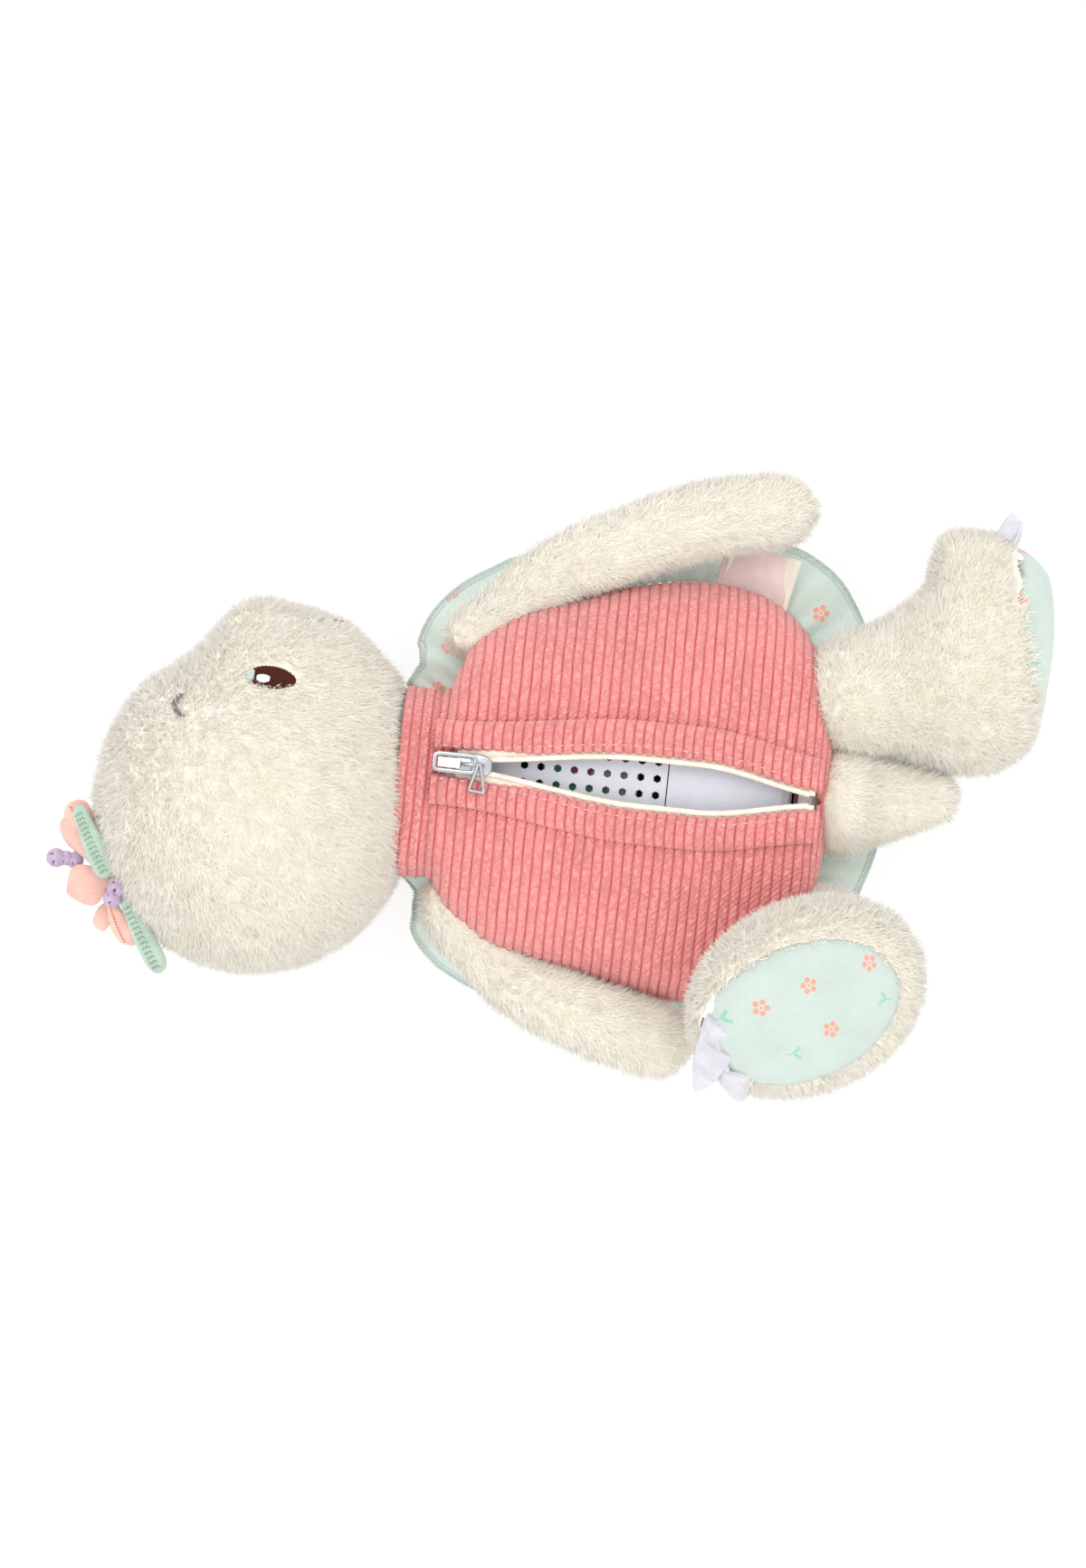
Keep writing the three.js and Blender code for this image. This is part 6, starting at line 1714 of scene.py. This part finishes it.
class TURTLE_OT_face(TurtleOperator):
    """Stitches the eyes, the brows and the mouth"""
    bl_idname = "turtle.face"
    bl_label = "Face"

    def make(self):
        trim = settings("trim")
        self.brown = thread_material("Brown thread", trim.eye, 0.6)
        self.white = thread_material("White thread", srgb(240, 236, 232), 0.5)
        self.mint = thread_material("Mint thread", srgb(196, 214, 205), 0.55)
        self.grey = thread_material("Grey thread", srgb(128, 112, 122), 0.6)
        for side in ("left", "right"):
            self.eye(side)
            self.brow(side)
        self.mouth()

    def outline(self, u):
        """Reach of the eye up and down at a share of its half length, from its round to its pointed end."""
        body = math.sqrt(max(1 - u * u, 0))
        point = 1 - 0.35 * max(u, 0) ** 2
        return 0.94 * body * point, -body * (1 - 0.1 * u)

    def disc(self, u):
        """Reach of a round patch up and down, at a share of its half length."""
        body = math.sqrt(max(1 - u * u, 0))
        return body, -body

    def satin(self, name, anchor, ways, half, height, finish, lift, shape):
        """Threads side by side that fill a shape on the head; ways are along it, across it and outward."""
        along, across, normal = ways
        ground = grounds["head"]
        spacing, radius = 0.36, 0.3
        paths = []
        count = int(2 * half / spacing)
        for i in range(count + 1):
            u = -1 + 2 * i / count
            top, bottom = shape(u)
            if (top - bottom) * height < 0.6:
                continue
            jag = 0.12 * math.sin(i * 2.3)
            path = []
            for v in np.linspace(bottom - jag * 0.3, top + jag * 0.3, 7):
                spot = anchor + along * (u * half) + across * (v * height)
                place, _ = ground.under(spot + normal * 14, -normal)
                arch = 1 - (abs(v) / 1.1) ** 4
                path.append(place + normal * (lift + 0.35 * arch))
            paths.append(path)
        return tubes(name, paths, radius, finish, 6)

    def eye(self, side):
        ground = grounds["head"]
        centre = middle(f"eye_{side}")
        head = middle("head")
        aim = centre - head
        aim[0] *= 0.6
        place, normal = ground.under(centre + 20 * aim / np.linalg.norm(aim), -aim)
        along = square_to(normal, np.array([1.0, -0.03, 0]))
        across = np.cross(normal, along)
        if across[1] < 0:
            across = -across
        place = place - 1.9 * across
        lift = 0.7
        ways = (along, across, normal)
        dark = self.satin(f"eye_{side}_satin", place, ways, 6.6, 3.9, self.brown, lift, self.outline)
        glint_at = place - along * 2.3 - across * 1.5
        glint = self.satin(
            f"eye_{side}_glint", glint_at, ways, 1.9, 1.4, self.white, lift + 0.55, self.disc)
        lid_at = place - along * 5.9 - across * 0.4
        lid = self.satin(f"eye_{side}_lid", lid_at, ways, 1.1, 2.2, self.mint, lift + 0.35, self.disc)
        dashes = []
        for k in range(4):
            start = place - along * (1.5 - 1.9 * k) - across * 4.3
            a, _ = ground.under(start + normal * 14, -normal)
            b, _ = ground.under(start + along * 1.2 + normal * 14, -normal)
            dashes.append([a + normal * 0.9, (a + b) / 2 + normal * 1.15, b + normal * 0.9])
        under = tubes(f"eye_{side}_dashes", dashes, 0.3, self.white, 6)
        eye = joined(f"eye_{side}_stitched", [dark, glint, lid, under])
        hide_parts(f"eye_{side}")
        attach(eye, "head")

    def brow(self, side):
        ground = grounds["head"]
        centre = middle(f"brow_{side}")
        up = np.array([0, 0, 1 if side == "left" else -1])
        arc = np.array([(3.4, 2.8), (1.9, 0.9), (2.0, -1.0), (3.3, -2.3), (5.0, -3.1)])
        ease = np.linspace(0, len(arc) - 1, 11)
        paths = []
        for shift in (-0.35, 0.1, 0.5):
            path = []
            for u in ease:
                step = [np.interp(u, range(len(arc)), arc[:, k]) for k in range(2)]
                spot = centre + np.array([step[0] + shift, step[1], 0])
                place, normal = ground.under(spot + up * 30, -up)
                path.append(place + normal * 1.3)
            paths.append(path)
        brow = tubes(f"brow_{side}_thread", paths, 0.32, self.grey, 6)
        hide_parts(f"brow_{side}")
        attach(brow, "head")

    def mouth(self):
        ground = grounds["head"]
        low, high = box("mouth")
        centre = (low + high) / 2
        paths = []
        for shift in (-0.3, 0.3):
            path = []
            for u in np.linspace(-1, 1, 19):
                level = centre[2] + 0.4 * u * (high[2] - low[2]) / 2
                spot = np.array([high[0] - 3 * u * u + shift, 60, level])
                place, normal = ground.under(spot, (0, -1, 0))
                path.append(place + normal * 0.9)
            paths.append(path)
        mouth = tubes("mouth_thread", paths, 0.34, self.grey, 6)
        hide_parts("mouth")
        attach(mouth, "head")


class TURTLE_OT_crown(TurtleOperator):
    """Makes the felt flowers, their leaves and the chenille knobs on the head"""
    bl_idname = "turtle.crown"
    bl_label = "Crown trim"

    # Root, tip, width, way it faces and fullness of its tip, for each petal of the two flowers
    PETALS = {
        "1": [
            ((-147.2, -31.5, 56.5), (-154.4, -21.8, 57.5), 8.0, (-0.35, 0.2, 0.9), 0.8),
            ((-147.0, -37.0, 55.5), (-156.4, -26.5, 54.5), 8.5, (-0.5, -0.2, 0.85), 0.75),
            ((-141.6, -41.0, 57.0), (-153.2, -47.2, 54.0), 12.5, (-0.4, -0.4, 0.85), 0.2),
            ((-146.0, -36.0, 50.0), (-153.0, -28.0, 41.0), 8.5, (-0.8, -0.1, -0.3), 0.7),
            ((-145.0, -40.0, 49.0), (-150.5, -46.5, 40.5), 8.5, (-0.8, -0.4, -0.3), 0.7),
        ],
        "2": [
            ((-140.8, -48.0, 56.0), (-134.8, -59.6, 54.0), 7.5, (-0.5, -0.25, 0.8), 0.75),
            ((-140.0, -49.0, 50.0), (-145.5, -55.5, 46.0), 8.0, (-0.6, -0.5, -0.2), 0.7),
            ((-137.0, -51.0, 48.0), (-136.0, -60.0, 40.5), 8.0, (-0.5, -0.7, -0.2), 0.7),
        ],
    }
    # Root, tip, width and way it faces, for each leaf
    LEAVES = {
        "1": ((-152.2, -22.6, 60.5), (-141.3, -41.6, 61.5), 7.0, (-0.3, -0.1, 0.95)),
        "2": ((-136.6, -46.6, 60.0), (-124.6, -66.4, 56.0), 6.6, (-0.25, -0.3, 0.92)),
    }
    # Knobs: middle and radius
    KNOBS = {
        "1": [((-157.3, -37.8, 53.0), 2.9), ((-154.6, -37.6, 52.8), 2.0), ((-152.0, -37.8, 52.5), 2.3)],
        "2": [((-138.6, -43.6, 61.5), 3.0), ((-139.8, -47.2, 60.0), 2.6)],
    }

    def make(self):
        trim = settings("trim")
        felt, leaf = (
            cloth_material(name, tuple(colour), darker(colour, 0.85), clouds=220.0, fibres=1500.0,
                           bump=0.3, sheen=0.3)
            for name, colour in (("Peach felt", trim.felt), ("Sage felt", trim.leaf)))
        knob = cloth_material("Lilac chenille", tuple(trim.chenille), darker(trim.chenille, 0.8),
                              clouds=500.0, fibres=1500.0, bump=0.5, sheen=0.4)
        vein = thread_material("Leaf stitch", srgb(128, 168, 146))
        fold = thread_material("Petal stitch", srgb(206, 112, 104))
        for k in ("1", "2"):
            petals = [felt_blade(f"petal_{k}_{i}", *petal[:4], self.petal_width(petal[4]), felt, 1.5, 0.9)
                      for i, petal in enumerate(self.PETALS[k])]
            root, tip, _, facing, _ = self.PETALS[k][0]
            petals.append(self.vein(f"fold_{k}", root, tip, 1.35, 0.35, fold, facing))
            self.keep(joined(f"flower_{k}_felt", petals), f"flower_{k}", "flower_felt")
            blade = felt_blade(f"leaf_{k}", *self.LEAVES[k], self.leaf_width, leaf, 2.2, 0.5)
            root, tip, _, facing = self.LEAVES[k]
            veins = [self.vein(f"vein_{k}_{i}", root, tip, 1.35, side, vein, facing)
                     for i, side in enumerate((-0.9, 0.0, 0.9))]
            self.keep(joined(f"leaf_{k}_felt", [blade, *veins]), f"leaf_{k}", "leaf_felt")
            self.knobs(k, knob)

    def keep(self, obj, node, slot):
        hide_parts(node)
        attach(obj, "head")

    def petal_width(self, fullness):
        """Half width along a petal: narrow at its root, widest near its tip, and then blunt or pointed."""
        def share(s):
            body = 0.45 + 0.55 * smoothstep(s / 0.6)
            end = max(1 - max((s - 0.6) / 0.4, 0) ** (1.2 + 3 * fullness), 0)
            return float(body * end ** (0.5 + 0.5 * (1 - fullness)))
        return share

    def leaf_width(self, s):
        """Half width along a leaf: rounded at both ends and widest in its outer half."""
        body = 0.6 + 0.4 * smoothstep(s / 0.7)
        tip = math.sqrt(max(1 - max((s - 0.8) / 0.2, 0) ** 2, 0))
        return float(body * tip * math.sqrt(min(s / 0.08 + 0.1, 1)))

    def vein(self, name, root, tip, lift, side, thread, facing):
        """Row of stitches along a leaf or petal, at a distance to one side of its middle."""
        root, tip = np.array(root), np.array(tip)
        facing = square_to(unit_vector(*(tip - root)), np.array(facing, float))
        across = np.cross(facing, unit_vector(*(tip - root)))
        paths = []
        count = 13
        for i in range(count):
            s = 0.1 + 0.78 * i / (count - 1)
            ahead = 0.035 * (tip - root)
            over = lift + 0.5 * math.sin(math.pi * s) - 0.15
            start = root + (tip - root) * s + across * side + facing * over
            slant = across * (0.35 if side > 0 else -0.35)
            paths.append([start - slant, start + ahead / 2 + facing * 0.12, start + ahead + slant])
        return tubes(name, paths, 0.16, thread, 5)

    def knobs(self, k, material):
        """Short chenille loops gathered into knobs."""
        loops = []
        for place, radius in self.KNOBS[k]:
            for i in range(11):
                spin = Matrix.Rotation(i * 2.4, 3, "Z") @ Matrix.Rotation(0.6 + i * 1.3, 3, "X")
                turns = np.linspace(0, 1.75 * math.pi, 14)
                loop = [spin @ Vector((math.cos(a), math.sin(a), 0.3 * math.sin(2 * a))) for a in turns]
                loops.append([np.array(place) + radius * 0.66 * np.array(point) for point in loop])
        obj = tubes(f"bud_{k}_chenille", loops, 0.8, material, 7)
        points = points_of(obj)
        move_points(obj, points + normals_of(obj) * (0.35 * speckle(points, 0.9, 2))[:, None])
        self.keep(obj, f"bud_{k}", "bud_chenille")


class TURTLE_OT_label(TurtleOperator):
    """Makes the folded care label"""
    bl_idname = "turtle.label"
    bl_label = "Care label"

    def make(self):
        satin = woven_material("Pink satin", srgb(244, 224, 222), pitch=0.35, roughness=0.42, sheen=0.2)
        plain = woven_material("Cream tape", srgb(250, 244, 230), pitch=0.5, roughness=0.7)
        for node, finish, seed in (("care_label", satin, 1), ("care_label_back", plain, 5)):
            low, high = box(node)
            root = np.array([27.0, 54.0])
            along = unit_vector(0.18, 0.98)
            across = np.array([along[1], -along[0]])
            level = (low[2] + high[2]) / 2
            shift = 1.5 if node.endswith("back") else 0
            rows, columns = 24, 30
            points = []
            for i in range(rows):
                v = -2 + 17 * i / (rows - 1)
                for j in range(columns):
                    u = shift - 10 + 20 * j / (columns - 1)
                    flat = root + along * v + across * u
                    curl = 1.3 * math.sin(u * 0.28 + seed) * (i / rows) + 2.2 * (i / rows) ** 2
                    points.append((flat[0], flat[1], level + curl))
            obj = mesh_object(f"{node}_cloth", points, grid_faces(rows, columns), finish)
            walled(obj, 0.3, 0)
            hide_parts(node)
            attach(obj, "trunk")


class TURTLE_OT_unit(TurtleOperator):
    """Makes the pocket round the light unit, and finishes its inner parts"""
    bl_idname = "turtle.unit"
    bl_label = "Light unit"

    def make(self):
        self.pocket()
        self.inner()

    def pocket(self):
        lining = woven_material("Pocket lining", srgb(186, 128, 126), pitch=0.8, roughness=0.85)
        pocket = soft_copy("pocket_cloth", "unit_pocket", lining, voxel=0.7, rounds=4)
        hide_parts("unit_pocket")
        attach(pocket, "trunk")

    def inner(self):
        cone_flecks = [srgb(88, 150, 124), srgb(170, 170, 172), srgb(180, 84, 84)]
        finishes = {
            "unit_plastic": hard_material("White plastic", settings("unit").colour, 0.42, worn=0.1),
            "tray_plastic": hard_material("Tray plastic", srgb(217, 221, 226), 0.5),
            "screw_steel": hard_material("Zinc plate", srgb(170, 170, 172), 0.32, 1.0, 400.0),
            "battery_wrap": hard_material("Cell sleeve", srgb(74, 90, 82), 0.28),
            "contact_metal": hard_material("Contact steel", srgb(192, 191, 188), 0.25, 1.0, 500.0),
            "board_green": hard_material("Solder mask", srgb(46, 107, 74), 0.4),
            "led_clear": hard_material("Clear epoxy", srgb(250, 246, 232), 0.12),
            "speaker_black": speckled_material("Speaker cone", cone_flecks, 150.0, 0.6),
            "button_plastic": hard_material("Peach button", srgb(240, 201, 184), 0.55),
            "lens_milk": hard_material("Milky lens", srgb(246, 244, 238), 0.3),
            "wadding": cloth_material(
                "Fibre filling", srgb(246, 244, 238), srgb(226, 222, 214), clouds=90.0, fibres=700.0,
                bump=0.9),
            "zip_metal": hard_material("Stop nickel", srgb(190, 192, 196), 0.2, 1.0, 500.0),
        }
        for part in frame["record"]["subparts"]:
            finish = finishes.get(part["material_slot"])
            if finish is not None:
                refinished(frame["nodes"][part["node"]], finish)


class TURTLE_PT_panel(bpy.types.Panel):
    """Lists the steps and the settings"""
    bl_label = "Night Light"
    bl_idname = "TURTLE_PT_panel"
    bl_space_type = "VIEW_3D"
    bl_region_type = "UI"
    bl_category = "Night Light"

    def draw(self, context):
        for name, group in SETTINGS.items():
            part = self.layout.box()
            part.label(text=group.__doc__)
            for key in group.__annotations__:
                part.prop(getattr(context.scene, f"turtle_{name}"), key)
        for step in STEPS:
            self.layout.operator(step.bl_idname)


STEPS = [
    TURTLE_OT_stage, TURTLE_OT_head, TURTLE_OT_limbs, TURTLE_OT_feet, TURTLE_OT_belly, TURTLE_OT_collar,
    TURTLE_OT_shell, TURTLE_OT_zip, TURTLE_OT_face, TURTLE_OT_crown, TURTLE_OT_label, TURTLE_OT_unit,
]


def register():
    for name, group in SETTINGS.items():
        bpy.utils.register_class(group)
        setattr(bpy.types.Scene, f"turtle_{name}", PointerProperty(type=group))
    for step in STEPS:
        bpy.utils.register_class(step)
    bpy.utils.register_class(TURTLE_PT_panel)


def unregister():
    bpy.utils.unregister_class(TURTLE_PT_panel)
    for step in reversed(STEPS):
        bpy.utils.unregister_class(step)
    for name, group in SETTINGS.items():
        delattr(bpy.types.Scene, f"turtle_{name}")
        bpy.utils.unregister_class(group)


def main():
    register()
    for step in STEPS:
        family, name = step.bl_idname.split(".")
        getattr(getattr(bpy.ops, family), name)()


if __name__ == "__main__":
    main()
